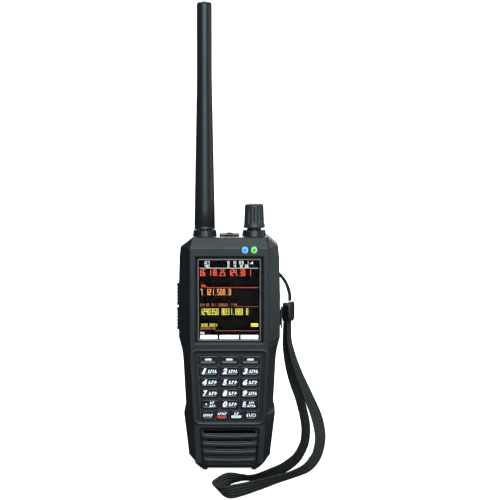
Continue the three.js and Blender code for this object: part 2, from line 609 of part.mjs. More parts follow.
// ---- Antenna -----------------------------------------------------------------------------------
const JACK_TOP = BOSS_TOP + 8;
add('antenna_jack', turned([[0, BODY_TOP - 9], [4.4, BODY_TOP - 9], [4.4, BODY_TOP - WALL - GAP],
  [JACK_RADIUS, BODY_TOP - WALL - GAP], [JACK_RADIUS, JACK_TOP], [0, JACK_TOP]], 16,
-TOP_CONTROL_X, TOP_CONTROL_Y), GOLD);

const WHIP_BASE = BOSS_TOP + ANTENNA_LIFT;
const FERRULE_TOP = WHIP_BASE + 10.4;
add('antenna_ferrule', turned([[JACK_RADIUS + GAP, WHIP_BASE + 0.3], [FERRULE_RADIUS, WHIP_BASE + 0.3],
  [FERRULE_RADIUS, FERRULE_TOP], [0, FERRULE_TOP], [0, JACK_TOP + 1], [JACK_RADIUS + GAP, JACK_TOP + 1],
  [JACK_RADIUS + GAP, WHIP_BASE + 0.3]], 18, -TOP_CONTROL_X, TOP_CONTROL_Y), TIN);

const WHIP_TOP = WHIP_BASE + ANTENNA_HEIGHT;
const bore = FERRULE_RADIUS + GAP;
add('antenna_whip', turned([[bore, WHIP_BASE], [ANTENNA_ROOT_RADIUS, WHIP_BASE],
  [ANTENNA_TIP_RADIUS, WHIP_BASE + ANTENNA_TAPER_HEIGHT], [ANTENNA_TIP_RADIUS, WHIP_TOP - 1.4],
  [ANTENNA_TIP_RADIUS - 0.4, WHIP_TOP - 0.5], [ANTENNA_TIP_RADIUS - 1.4, WHIP_TOP], [0, WHIP_TOP],
  [0, FERRULE_TOP + GAP], [bore, FERRULE_TOP + GAP], [bore, WHIP_BASE]], 24,
-TOP_CONTROL_X, TOP_CONTROL_Y), RUBBER);

// ---- Earphone socket and its cover ---------------------------------------------------------------
const socketHalf = 3.5;
const socketTop = BODY_TOP - WALL - GAP;
let earphone = solid(box(-socketHalf, socketHalf, TOP_CONTROL_Y - socketHalf,
  TOP_CONTROL_Y + socketHalf, socketTop - 11, socketTop));
earphone = cut(earphone, rod(1.8, socketTop - 9, socketTop + 1, 12, 0, TOP_CONTROL_Y));
add('earphone_socket', surface(earphone), CASE_PLASTIC);

const coverFoot = BODY_TOP + GAP;
let earphoneCover = solid(box(-EARPHONE_WIDTH / 2, EARPHONE_WIDTH / 2,
  TOP_CONTROL_Y - EARPHONE_COVER_DEPTH / 2, TOP_CONTROL_Y + EARPHONE_COVER_DEPTH / 2,
  coverFoot, coverFoot + 0.9));
earphoneCover = join(earphoneCover,
  rod(PLUG_RADIUS, socketTop + GAP, coverFoot + 0.5, 12, 0, TOP_CONTROL_Y),
  turned([[0, coverFoot + 0.5], [2.3, coverFoot + 0.5], [1.6, coverFoot + 1.7], [0, coverFoot + 1.9]],
    12, 0, TOP_CONTROL_Y));
add('earphone_cover', surface(earphoneCover), RUBBER);

// ---- Data socket and its cover -------------------------------------------------------------------
const usbOuter = HALF - WALL - 0.6;
let usb = solid(box(usbOuter - 6.5, usbOuter, USB_Y - USB_DEPTH / 2, USB_Y + USB_DEPTH / 2,
  USB_LEVEL - USB_HEIGHT / 2, USB_LEVEL + USB_HEIGHT / 2));
usb = cut(usb, sideOpening(usbOuter - 5, usbOuter + 1, USB_Y, USB_LEVEL, USB_DEPTH / 2 - 0.6,
  USB_HEIGHT / 2 - 0.8));
add('usb_socket', surface(usb), TIN);

const flapHalf = [USB_DEPTH / 2 + 2.4, USB_HEIGHT / 2 + 2.4];
let usbCover = solid(sideOpening(HALF + GAP, HALF + SIDE_PROUD, USB_Y, USB_LEVEL, ...flapHalf));
usbCover = join(usbCover, sideOpening(usbOuter + GAP, HALF + 0.6, USB_Y, USB_LEVEL, USB_DEPTH / 2 + 0.6,
  USB_HEIGHT / 2 + 0.6));
add('usb_cover', surface(usbCover), RUBBER);

// ---- Boards, shield and loudspeaker ---------------------------------------------------------------
const boardHalf = HALF - 7.5;
const boardFootHalf = HALF - 11.5;
const boardTop = BODY_TOP - 20;
const boardShape = new THREE.Shape([[-boardFootHalf, COVER_BOTTOM + 9], [boardFootHalf, COVER_BOTTOM + 9],
  [boardHalf, COVER_BOTTOM + 30], [boardHalf, boardTop], [-boardHalf, boardTop],
  [-boardHalf, COVER_BOTTOM + 30]].map(([x, z]) => new THREE.Vector2(x, z)));
add('main_board', plate(boardShape, BOARD_FRONT, BOARD_BACK), BOARD_GREEN);

const shieldHalf = BATTERY_WIDTH / 2 - 3;
const shieldBase = BATTERY_LEVEL + 40;
const shieldBack = BOARD_BACK + GAP + SHIELD_HEIGHT;
let shield = solid(box(-shieldHalf, shieldHalf, BOARD_BACK + GAP, shieldBack, shieldBase,
  shieldBase + 26));
shield = cut(shield, box(-shieldHalf + 0.5, shieldHalf - 0.5, BOARD_BACK - 1, shieldBack - 0.5,
  shieldBase + 0.5, shieldBase + 25.5));
add('rf_shield', surface(shield), TIN);

const SPEAKER_LEVEL = FOOT_HEIGHT + WALL + SPEAKER_RADIUS + 1.5;
const speakerFront = FRONT + WALL + SPEAKER_GAP;
const basket = [[SPEAKER_RADIUS - 1, 0], [SPEAKER_RADIUS, 0], [SPEAKER_RADIUS, 1.6], [5, SPEAKER_DEPTH],
  [0, SPEAKER_DEPTH], [0, 4.2], [4.4, 4.2], [SPEAKER_RADIUS - 1, 1.2], [SPEAKER_RADIUS - 1, 0]];
const cone = [[0, 1.9], [2.4, 1.5], [SPEAKER_RADIUS - 1.5, 0.1], [SPEAKER_RADIUS - 1.5, 0.7], [4, 3.2],
  [0, 3.4]];
[['speaker_basket', basket, TIN], ['speaker_cone', cone, RUBBER]].forEach(([name, profile, look]) => {
  const part = new THREE.LatheGeometry(profile.map(([r, h]) => new THREE.Vector2(r, h)), 20);
  add(name, part.translate(0, speakerFront, SPEAKER_LEVEL), look);
});

// ---- Battery, its cover and the cover lock ----------------------------------------------------------
const batteryShape = roundedRect(BATTERY_WIDTH, BATTERY_HEIGHT, 2, 0, BATTERY_LEVEL + BATTERY_HEIGHT / 2);
add('battery_pack', plate(batteryShape, BATTERY_FRONT, BATTERY_BACK - GAP), finish(0x2b3036, 0.5));

const LATCH_SLOT = LATCH_WIDTH + LATCH_TRAVEL;
const coverShape = roundedRect(COVER_WIDTH, COVER_TOP - COVER_BOTTOM, 2, 0,
  (COVER_TOP + COVER_BOTTOM) / 2);
let batteryCover = solid(plate(coverShape, BACK - COVER_THICKNESS, BACK)).intersect(shellOutside);
batteryCover = cut(batteryCover, box(-LATCH_SLOT / 2 - GAP, LATCH_SLOT / 2 + GAP, BACK - 1.4, BACK + 1,
  LATCH_LEVEL - 2.2 - GAP, LATCH_LEVEL + 2.2 + GAP));
add('battery_cover', surface(batteryCover), CASE_PLASTIC);
const latchX = -LATCH_TRAVEL / 2;
let latch = solid(box(latchX - LATCH_WIDTH / 2, latchX + LATCH_WIDTH / 2, BACK - 1.4 + GAP, BACK + 0.7,
  LATCH_LEVEL - 2.2, LATCH_LEVEL + 2.2));
for (let i = -1; i <= 1; i++) {
  latch = cut(latch, box(latchX + i * 1.8 - 0.4, latchX + i * 1.8 + 0.4, BACK + 0.3, BACK + 1,
    LATCH_LEVEL - 3, LATCH_LEVEL + 3));
}
add('battery_latch', surface(latch), RUBBER);

// ---- Belt clip -----------------------------------------------------------------------------------
const CLIP_OUTER = BACK + CLIP_STANDOFF;
const CLIP_INNER = CLIP_OUTER - CLIP_THICKNESS;
const EAR_INNER = CLIP_WIDTH / 2 + 0.6;
const EAR_OUTER = EAR_INNER + 2;
const plateBack = BACK + GAP + 2;
const plateTop = BODY_TOP - 11.5;
const plateBottom = PIN_LEVEL - 10;
const plateShape = roundedRect(2 * EAR_OUTER, plateTop - plateBottom, 2, 0,
  (plateTop + plateBottom) / 2);
let clipPlate = solid(plate(plateShape, BACK + GAP, plateBack));
for (const side of [-1, 1]) {
  const x0 = side > 0 ? EAR_INNER : -EAR_OUTER;
  clipPlate = join(clipPlate, sideProfile([[plateBack - 1, PIN_LEVEL - 5], [PIN_Y + 2.4, PIN_LEVEL - 1.6],
    [PIN_Y + 2.4, PIN_LEVEL + 1.6], [plateBack - 1, PIN_LEVEL + 5]], x0, x0 + 2));
}
const pinHole = crossPin(CLIP_PIN_RADIUS + TURN_GAP, EAR_OUTER + 1);
clipPlate = cut(clipPlate, pinHole);
add('clip_plate', surface(clipPlate), CASE_PLASTIC);

function crossPin(radius, reach, segments = 12) {
  const geometry = new THREE.CylinderGeometry(radius, radius, 2 * reach, segments);
  return geometry.rotateZ(Math.PI / 2).translate(0, PIN_Y, PIN_LEVEL);
}

add('clip_pin', crossPin(CLIP_PIN_RADIUS, EAR_OUTER - 0.1), STEEL);

const ARM_DROP = 54;
const LEVER_RISE = 14;
const SPRING_HALF = 3.6;
const SPRING_RADIUS = 2.2;
let clip = solid(sideProfile([
  [CLIP_INNER, PIN_LEVEL + LEVER_RISE], [CLIP_INNER, PIN_LEVEL - ARM_DROP + 8],
  [BACK + 1.2, PIN_LEVEL - ARM_DROP + 3], [BACK + 1.2, PIN_LEVEL - ARM_DROP + 1],
  [BACK + 3.4, PIN_LEVEL - ARM_DROP], [CLIP_OUTER, PIN_LEVEL - ARM_DROP + 6],
  [CLIP_OUTER, PIN_LEVEL + LEVER_RISE],
], -CLIP_WIDTH / 2, CLIP_WIDTH / 2));
clip = clip.add(solid(crossPin(CLIP_BARREL_RADIUS, CLIP_WIDTH / 2, 14)));
clip = cut(clip, crossPin(CLIP_PIN_RADIUS + TURN_GAP, CLIP_WIDTH),
  box(-SPRING_HALF - GAP, SPRING_HALF + GAP, plateBack, PIN_Y + SPRING_RADIUS + GAP, PIN_LEVEL - 3.5,
    PIN_LEVEL + 3.5));
add('belt_clip', surface(clip), CASE_PLASTIC);

const springProfile = [[CLIP_PIN_RADIUS + GAP, -SPRING_HALF], [SPRING_RADIUS, -SPRING_HALF],
  [SPRING_RADIUS, SPRING_HALF],
  [CLIP_PIN_RADIUS + GAP, SPRING_HALF], [CLIP_PIN_RADIUS + GAP, -SPRING_HALF]];
const spring = new THREE.LatheGeometry(springProfile.map(([r, h]) => new THREE.Vector2(r, h)), 14);
add('clip_spring', spring.rotateZ(Math.PI / 2).translate(0, PIN_Y, PIN_LEVEL), STEEL);

// ---- Wrist strap ----------------------------------------------------------------------------------
// The cord runs from the slider round the post and back; its points are chosen by hand.
const CORD_POINTS = [
  [37.4, 3.4, 103.1], [37.2, 4, 107.4], [36.1, 4.6, 111.6], [34.3, 4.9, 115.5], [32, 4.7, 118.6],
  [29.4, 4.25, 120.7], [26.6, 4.1, 121.5], [24.35, 5.05, 121.9], [23.4, 7.3, 122], [24.35, 9.55, 121.9],
  [26.6, 10.5, 121.5], [29.5, 10.2, 120.7], [32.4, 9, 118.7], [34.9, 7.8, 115.5], [36.8, 6.9, 111.6],
  [38, 6, 107.4], [38.2, 5.3, 103.1],
];
// The webbing leaves the slider, lies on its edge in front of the radio and comes back; each point
// has the direction of the band's width with it.
const WEBBING_POINTS = [
  { at: [35.3, 4.6, 89.7], across: [0.31, 0.95, 0] },
  { at: [34.9, 3.6, 79], across: [0.31, 0.95, 0.02] },
  { at: [35.9, 2.2, 68], across: [0.36, 0.93, 0.05] },
  { at: [39.2, 0.2, 54.5], across: [0.45, 0.88, 0.1] },
  { at: [44.4, -3, 40.5], across: [0.55, 0.82, 0.1] },
  { at: [47.2, -6.4, 29], across: [0.6, 0.8, 0.05] },
  { at: [47.4, -10.4, 19.2], across: [0.6, 0.8, -0.1] },
  { at: [44.4, -16.5, 11.5], across: [0.52, 0.78, -0.35] },
  { at: [38.8, -26, 6.9], across: [0.35, 0.75, -0.56] },
  { at: [31.2, -38, 5.0], across: [0.22, 0.75, -0.62] },
  { at: [23.4, -47.8, 4.6], across: [0.15, 0.8, -0.58] },
  { at: [15.4, -55, 4.1], across: [0.1, 0.85, -0.5] },
  { at: [7.6, -58, 4.3], across: [0.25, 0.82, -0.5] },
  { at: [0.4, -64.5, 5], across: [0.45, 0.7, -0.5] },
  { at: [-4.4, -74, 4.7], across: [0.6, 0.42, -0.62] },
  { at: [-6.4, -84, 4.7], across: [0.7, 0.1, -0.7] },
  { at: [-4.8, -92.6, 4.9], across: [0.62, 0.2, -0.74] },
  { at: [1, -96, 5.1], across: [0.4, 0.36, -0.83] },
  { at: [8.4, -90, 5.1], across: [0.2, 0.5, -0.82] },
  { at: [17, -79.5, 5], across: [0.12, 0.66, -0.72] },
  { at: [26.2, -67, 4.8], across: [0.15, 0.82, -0.56] },
  { at: [35.8, -53.4, 4.6], across: [0.2, 0.9, -0.38] },
  { at: [44.6, -38.5, 4.8], across: [0.32, 0.9, -0.3] },
  { at: [51, -27, 6.9], across: [0.5, 0.82, -0.25] },
  { at: [54.9, -20, 12], across: [0.66, 0.73, -0.15] },
  { at: [56.5, -14.5, 20.5], across: [0.74, 0.67, -0.02] },
  { at: [54.6, -8.6, 31], across: [0.75, 0.64, 0.12] },
  { at: [49, -3.6, 44.6], across: [0.62, 0.77, 0.12] },
  { at: [43.2, -0.2, 58], across: [0.47, 0.88, 0.08] },
  { at: [39.2, 2.2, 70], across: [0.36, 0.93, 0.05] },
  { at: [37.2, 3.6, 80], across: [0.31, 0.95, 0.02] },
  { at: [37.1, 4.4, 89.7], across: [0.31, 0.95, 0] },
];

const vectors = (points) => points.map((point) => new THREE.Vector3(...point));

const cordShape = new THREE.Shape();
cordShape.absarc(0, 0, CORD_DIAMETER / 2, 0, 2 * Math.PI);
add('strap_cord', new THREE.ExtrudeGeometry(cordShape, { curveSegments: 4, steps: 36,
  extrudePath: new THREE.CatmullRomCurve3(vectors(CORD_POINTS)) }), WOVEN);

// The curve that the band follows, turned at each step so that its width lies as stated.
class BandCurve extends THREE.CatmullRomCurve3 {
  constructor(stations) {
    super(vectors(stations.map((station) => station.at)));
    this.across = new THREE.CatmullRomCurve3(vectors(stations.map((station) => station.across)));
  }

  computeFrenetFrames(steps) {
    const frames = { tangents: [], normals: [], binormals: [] };
    for (let i = 0; i <= steps; i++) {
      const u = i / steps;
      const tangent = this.getTangentAt(u);
      const across = this.across.getPoint(this.getUtoTmapping(u));
      const normal = new THREE.Vector3().crossVectors(across, tangent).normalize();
      const binormal = new THREE.Vector3().crossVectors(tangent, normal);
      frames.tangents.push(tangent);
      frames.normals.push(normal);
      frames.binormals.push(binormal);
    }
    return frames;
  }
}

const bandShape = new THREE.Shape([[-1, -1], [1, -1], [1, 1], [-1, 1]].map(([x, y]) => new THREE.Vector2(
  x * WEBBING_THICKNESS / 2, y * WEBBING_WIDTH / 2)));
add('strap_webbing', new THREE.ExtrudeGeometry(bandShape, { steps: 64,
  extrudePath: new BandCurve(WEBBING_POINTS) }), WOVEN);

const slider = add('strap_slider', new THREE.BoxGeometry(...SLIDER_SIZE), RUBBER);
slider.position.set(...SLIDER_PLACE);
slider.rotation.z = THREE.MathUtils.degToRad(SLIDER_TURN);

export default group;
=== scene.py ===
# A handheld radio receiver with its wrist strap, standing on a pale floor.
# Metres, +Z up, front face towards -Y, as in the CAD model.
import math

import bmesh
import bpy
import numpy as np
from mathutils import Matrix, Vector


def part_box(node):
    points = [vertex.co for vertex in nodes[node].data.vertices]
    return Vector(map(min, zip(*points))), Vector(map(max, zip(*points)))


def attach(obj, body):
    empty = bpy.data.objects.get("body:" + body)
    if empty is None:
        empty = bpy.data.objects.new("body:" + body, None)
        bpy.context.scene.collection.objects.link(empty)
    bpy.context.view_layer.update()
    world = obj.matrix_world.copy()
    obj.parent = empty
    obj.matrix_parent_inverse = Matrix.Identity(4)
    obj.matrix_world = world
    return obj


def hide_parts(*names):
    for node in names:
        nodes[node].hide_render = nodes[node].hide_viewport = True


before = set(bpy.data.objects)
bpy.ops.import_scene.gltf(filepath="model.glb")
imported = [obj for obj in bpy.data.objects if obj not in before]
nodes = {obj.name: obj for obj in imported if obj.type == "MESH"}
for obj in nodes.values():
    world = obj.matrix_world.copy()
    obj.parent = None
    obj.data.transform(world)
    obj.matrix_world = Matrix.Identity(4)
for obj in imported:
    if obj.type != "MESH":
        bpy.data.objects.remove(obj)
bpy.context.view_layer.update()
MM = 0.001
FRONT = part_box("front_shell")[0].y

# ---- Camera ----------------------------------------------------------------------------------
# A long lens about 1.17 m in front of the radio, tilted down a little. The strap lies to the
# right, so the frame's middle is right of the radio.
CAMERA_TILT = 6.5
lens = bpy.data.cameras.new("camera")
lens.lens = 136
lens.sensor_width = 36
lens.clip_start = 0.05
camera = bpy.data.objects.new("camera", lens)
camera.location = (0.01274, -1.1715, 0.2692)
camera.rotation_euler = (math.radians(90 - CAMERA_TILT), 0, 0)
bpy.context.scene.collection.objects.link(camera)
bpy.context.scene.camera = camera


# ---- Wrist strap -----------------------------------------------------------------------------
# A braided nylon cord is looped round the post in the case and held by a moulded slider. Below
# it hangs a band woven flat in five ribs, which comes back to the slider in one long loop.
def shader_group(name, inputs, outputs):
    """A node group with sockets given as (name, type, default) and names of value outputs."""
    group = bpy.data.node_groups.new(name, "ShaderNodeTree")
    for label, kind, default in inputs:
        socket = group.interface.new_socket(label, in_out="INPUT", socket_type=kind)
        if default is not None:
            socket.default_value = default
    for label, kind in outputs:
        group.interface.new_socket(label, in_out="OUTPUT", socket_type=kind)
    return group, group.nodes.new("NodeGroupInput"), group.nodes.new("NodeGroupOutput")


def wire(tree, *pairs):
    for source, target in pairs:
        tree.links.new(source, target)


def grain_group():
    """Moulded plastic and rubber: soft blotches of tone, fine grain and rubbed high spots."""
    group, given, made = shader_group(
        "grain",
        [("Colour", "NodeSocketColor", (0.03, 0.03, 0.03, 1)),
         ("Roughness", "NodeSocketFloat", 0.5),
         ("Size", "NodeSocketFloat", 1.0),
         ("Tone", "NodeSocketFloat", 0.25)],
        [("Colour", "NodeSocketColor"), ("Roughness", "NodeSocketFloat"),
         ("Height", "NodeSocketFloat")])
    add = group.nodes.new
    place = add("ShaderNodeNewGeometry")
    fine, broad = add("ShaderNodeTexNoise"), add("ShaderNodeTexNoise")
    scale = add("ShaderNodeMath")
    scale.operation = "DIVIDE"
    scale.inputs[0].default_value = 4200
    fine.inputs["Detail"].default_value = 3
    broad.inputs["Scale"].default_value = 160
    broad.inputs["Detail"].default_value = 4
    lift = add("ShaderNodeMapRange")
    lift.inputs["To Min"].default_value = -1
    shift = add("ShaderNodeMath")
    shift.operation = "MULTIPLY_ADD"
    shift.inputs[2].default_value = 1
    tinted = add("ShaderNodeVectorMath")
    tinted.operation = "SCALE"
    rough = add("ShaderNodeMath")
    rough.operation = "MULTIPLY_ADD"
    rough.inputs[1].default_value = 0.06
    wire(group,
         (given.outputs["Size"], scale.inputs[1]), (scale.outputs[0], fine.inputs["Scale"]),
         (place.outputs["Position"], fine.inputs["Vector"]),
         (place.outputs["Position"], broad.inputs["Vector"]),
         (broad.outputs["Fac"], lift.inputs["Value"]),
         (lift.outputs["Result"], shift.inputs[0]), (given.outputs["Tone"], shift.inputs[1]),
         (given.outputs["Colour"], tinted.inputs[0]), (shift.outputs[0], tinted.inputs["Scale"]),
         (tinted.outputs[0], made.inputs["Colour"]),
         (lift.outputs["Result"], rough.inputs[0]), (given.outputs["Roughness"], rough.inputs[2]),
         (rough.outputs[0], made.inputs["Roughness"]),
         (fine.outputs["Fac"], made.inputs["Height"]))
    return group


def weave_group():
    """Ribbed weave: fine yarns across the ribs, with a painted highlight on each yarn crest and on each
    rib, and painted shade in the grooves between the ribs.
    """
    group, given, made = shader_group(
        "weave",
        [("Colour", "NodeSocketColor", (0.02, 0.02, 0.02, 1)),
         ("Yarn", "NodeSocketFloat", 1.1),
         ("Ribs", "NodeSocketFloat", 10.0)],
        [("Colour", "NodeSocketColor"), ("Height", "NodeSocketFloat")])
    add = group.nodes.new
    along = add("ShaderNodeUVMap")
    along.uv_map = "along"
    split = add("ShaderNodeSeparateXYZ")
    steps, sides = add("ShaderNodeMath"), add("ShaderNodeMath")
    steps.operation = "DIVIDE"
    sides.operation = "MULTIPLY"
    sides.inputs[1].default_value = 5
    wave = add("ShaderNodeMath")
    wave.operation = "SINE"
    turns = add("ShaderNodeMath")
    turns.operation = "MULTIPLY"
    turns.inputs[1].default_value = 2 * math.pi
    skew = add("ShaderNodeMath")
    skew.operation = "PINGPONG"
    skew.inputs[1].default_value = 0.5
    both = add("ShaderNodeMath")
    fuzz = add("ShaderNodeTexNoise")
    fuzz.inputs["Scale"].default_value = 3500
    # Painted highlight and shade: the colour runs from 0.3 to 1.7 times itself along each yarn,
    # lightest on the crests.
    crest_highlight = add("ShaderNodeMapRange")
    crest_highlight.inputs["From Min"].default_value = -1
    crest_highlight.inputs["To Min"].default_value = 0.3
    crest_highlight.inputs["To Max"].default_value = 1.7
    height = add("ShaderNodeMath")
    height.operation = "MULTIPLY_ADD"
    height.inputs[1].default_value = 0.5
    tinted, groove_shaded_colour = add("ShaderNodeVectorMath"), add("ShaderNodeVectorMath")
    tinted.operation = groove_shaded_colour.operation = "SCALE"
    # Painted shade: the colour falls to 0.06 of itself in the grooves between the ribs, with a painted
    # highlight of up to 1.5 times on each rib.
    count, fold, groove = add("ShaderNodeMath"), add("ShaderNodeMath"), add("ShaderNodeMapRange")
    count.operation = "MULTIPLY"
    fold.operation = "PINGPONG"
    fold.inputs[1].default_value = 0.5
    groove.interpolation_type = "SMOOTHSTEP"
    groove.inputs["From Max"].default_value = 0.42
    groove.inputs["To Min"].default_value = 0.06
    groove.inputs["To Max"].default_value = 1.5
    wire(group,
         (split.outputs[1], count.inputs[0]), (given.outputs["Ribs"], count.inputs[1]),
         (count.outputs[0], fold.inputs[0]), (fold.outputs[0], groove.inputs["Value"]),
         (tinted.outputs[0], groove_shaded_colour.inputs[0]), (groove.outputs["Result"], groove_shaded_colour.inputs["Scale"]),
         (along.outputs["UV"], split.inputs[0]), (split.outputs[0], steps.inputs[0]),
         (given.outputs["Yarn"], steps.inputs[1]), (split.outputs[1], sides.inputs[0]),
         (sides.outputs[0], skew.inputs[0]), (steps.outputs[0], both.inputs[0]),
         (skew.outputs[0], both.inputs[1]), (both.outputs[0], turns.inputs[0]),
         (turns.outputs[0], wave.inputs[0]), (wave.outputs[0], crest_highlight.inputs["Value"]),
         (given.outputs["Colour"], tinted.inputs[0]), (crest_highlight.outputs["Result"], tinted.inputs["Scale"]),
         (groove_shaded_colour.outputs[0], made.inputs["Colour"]), (fuzz.outputs["Fac"], height.inputs[0]),
         (wave.outputs[0], height.inputs[2]), (height.outputs[0], made.inputs["Height"]))
    return group


GRAIN, WEAVE = grain_group(), weave_group()


def material(name, group, settings, depth, **shader):
    """A Principled surface whose colour, roughness and bump come from one of the groups."""
    made = bpy.data.materials.new(name)
    made.use_nodes = True
    tree = made.node_tree
    surface = tree.nodes["Principled BSDF"]
    detail = tree.nodes.new("ShaderNodeGroup")
    detail.node_tree = group
    for label, value in settings.items():
        detail.inputs[label].default_value = value
    bump = tree.nodes.new("ShaderNodeBump")
    bump.inputs["Strength"].default_value = 1
    bump.inputs["Distance"].default_value = depth * MM
    wire(tree,
         (detail.outputs["Colour"], surface.inputs["Base Color"]),
         (detail.outputs["Height"], bump.inputs["Height"]),
         (bump.outputs["Normal"], surface.inputs["Normal"]))
    if "Roughness" in detail.outputs:
        wire(tree, (detail.outputs["Roughness"], surface.inputs["Roughness"]))
    for label, value in shader.items():
        surface.inputs[label.replace("_", " ")].default_value = value
    return made


def moulded(name, colour, roughness, size=1.0, tone=0.2, depth=0.012, **shader):
    return material(name, GRAIN, {"Colour": (*colour, 1), "Roughness": roughness, "Size": size,
                                  "Tone": tone}, depth, **shader)


def piece(name, points, faces, body, look, slot, stands_for=(), sharp=38):
    """A mesh piece that rides on a body, shaded smooth up to the sharp angle in degrees."""
    mesh = bpy.data.meshes.new(name)
    mesh.from_pydata([tuple(point) for point in points], [], faces)
    form = bmesh.new()
    form.from_mesh(mesh)
    bmesh.ops.recalc_face_normals(form, faces=form.faces)
    form.to_mesh(mesh)
    form.free()
    mesh.polygons.foreach_set("use_smooth", [True] * len(mesh.polygons))
    mesh.set_sharp_from_angle(angle=math.radians(sharp))
    mesh.materials.append(look)
    made = bpy.data.objects.new(name, mesh)
    bpy.context.scene.collection.objects.link(made)
    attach(made, body)
    if stands_for:
        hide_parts(*stands_for)
    return made


def skin(rings, closed=False):
    """Points and faces over rings of equal length; closed joins the last ring to the first."""
    count, total = len(rings[0]), len(rings)
    points = [point for ring in rings for point in ring]
    faces = []
    for r in range(total if closed else total - 1):
        a, b = r * count, (r + 1) % total * count
        faces += [(a + i, a + (i + 1) % count, b + (i + 1) % count, b + i) for i in range(count)]
    if not closed:
        faces += [tuple(reversed(range(count))), tuple(range((total - 1) * count, total * count))]
    return points, faces


def through(points, steps):
    """A centripetal Catmull-Rom line through the points, resampled to even steps."""
    points = np.array(points, float)
    ends = [2 * points[0] - points[1], *points, 2 * points[-1] - points[-2]]
    line = []
    for p0, p1, p2, p3 in zip(ends, ends[1:], ends[2:], ends[3:]):
        t1, t2, t3 = np.cumsum([max(np.linalg.norm(b - a), 1e-9) ** 0.5
                                for a, b in ((p0, p1), (p1, p2), (p2, p3))])
        for t in np.linspace(t1, t2, 24, endpoint=False):
            a1 = p0 + (p1 - p0) * t / t1
            a2 = p1 + (p2 - p1) * (t - t1) / (t2 - t1)
            a3 = p2 + (p3 - p2) * (t - t2) / (t3 - t2)
            b1 = a1 + (a2 - a1) * t / t2
            b2 = a2 + (a3 - a2) * (t - t1) / (t3 - t1)
            line.append(b1 + (b2 - b1) * (t - t1) / (t2 - t1))
    line = np.array([*line, points[-1]])
    run = np.r_[0, np.cumsum(np.linalg.norm(np.diff(line[:, :3], axis=0), axis=1))]
    even = np.linspace(0, run[-1], steps)
    return np.stack([np.interp(even, run, line[:, k]) for k in range(line.shape[1])], 1), run[-1]


def unit(rows):
    return rows / np.linalg.norm(rows, axis=1)[:, None]


def lay_along(rings, length, count):
    """A UV map named along: millimetres run along the rings, and 0 to 1 round each."""
    return [(r / (rings - 1) * length / MM, i / count) for r in range(rings) for i in range(count)]


def set_along(made, values):
    layer = made.data.uv_layers.new(name="along")
    for loop in made.data.loops:
        layer.data[loop.index].uv = values[loop.vertex_index]


# Dark nylon colour with painted light: a highlight on yarn crests and ribs and shade in the grooves, on
# both the cord and the band.
woven_look = material("woven_nylon_painted_light", WEAVE, {"Colour": (0.028, 0.035, 0.036, 1), "Yarn": 1.25},
                      0.3, Roughness=0.6, Specular_IOR_Level=0.15)
CORD_DIAMETER = 1.6 * MM
CORD_STEPS, CORD_SIDES = 170, 16
PLAIT_STRANDS, PLAIT_TURN = 4, 1.3
CORD_POINTS = [
    (37.4, 3.4, 103.1), (37.2, 4, 107.4), (36.1, 4.6, 111.6), (34.3, 4.9, 115.5), (32, 4.7, 118.6),
    (29.4, 4.25, 120.7), (26.6, 4.1, 121.5), (24.35, 5.05, 121.9), (23.4, 7.3, 122),
    (24.35, 9.55, 121.9), (26.6, 10.5, 121.5), (29.5, 10.2, 120.7), (32.4, 9, 118.7),
    (34.9, 7.8, 115.5), (36.8, 6.9, 111.6), (38, 6, 107.4), (38.2, 5.3, 103.1),
]
cord_line, cord_length = through(np.array(CORD_POINTS) * MM, CORD_STEPS)
tangent = unit(np.gradient(cord_line, axis=0))
side = unit(np.cross(tangent, (0.3, 0.1, 1)))
up = np.cross(side, tangent)
cord_rings = []
for n, centre in enumerate(cord_line):
    ring = []
    for i in range(CORD_SIDES):
        turn = 2 * math.pi * i / CORD_SIDES
        plait = 0.5 + 0.5 * math.cos(PLAIT_STRANDS * turn) * math.cos(n * PLAIT_TURN)
        radius = CORD_DIAMETER / 2 * (0.9 + 0.1 * plait)
        ring.append(centre + radius * (math.cos(turn) * side[n] + math.sin(turn) * up[n]))
    cord_rings.append(ring)
strap_cord = piece("strap_cord_braid", *skin(cord_rings), "case", woven_look, "woven_strap",
                   ["strap_cord"])
set_along(strap_cord, lay_along(len(cord_rings), cord_length, CORD_SIDES))

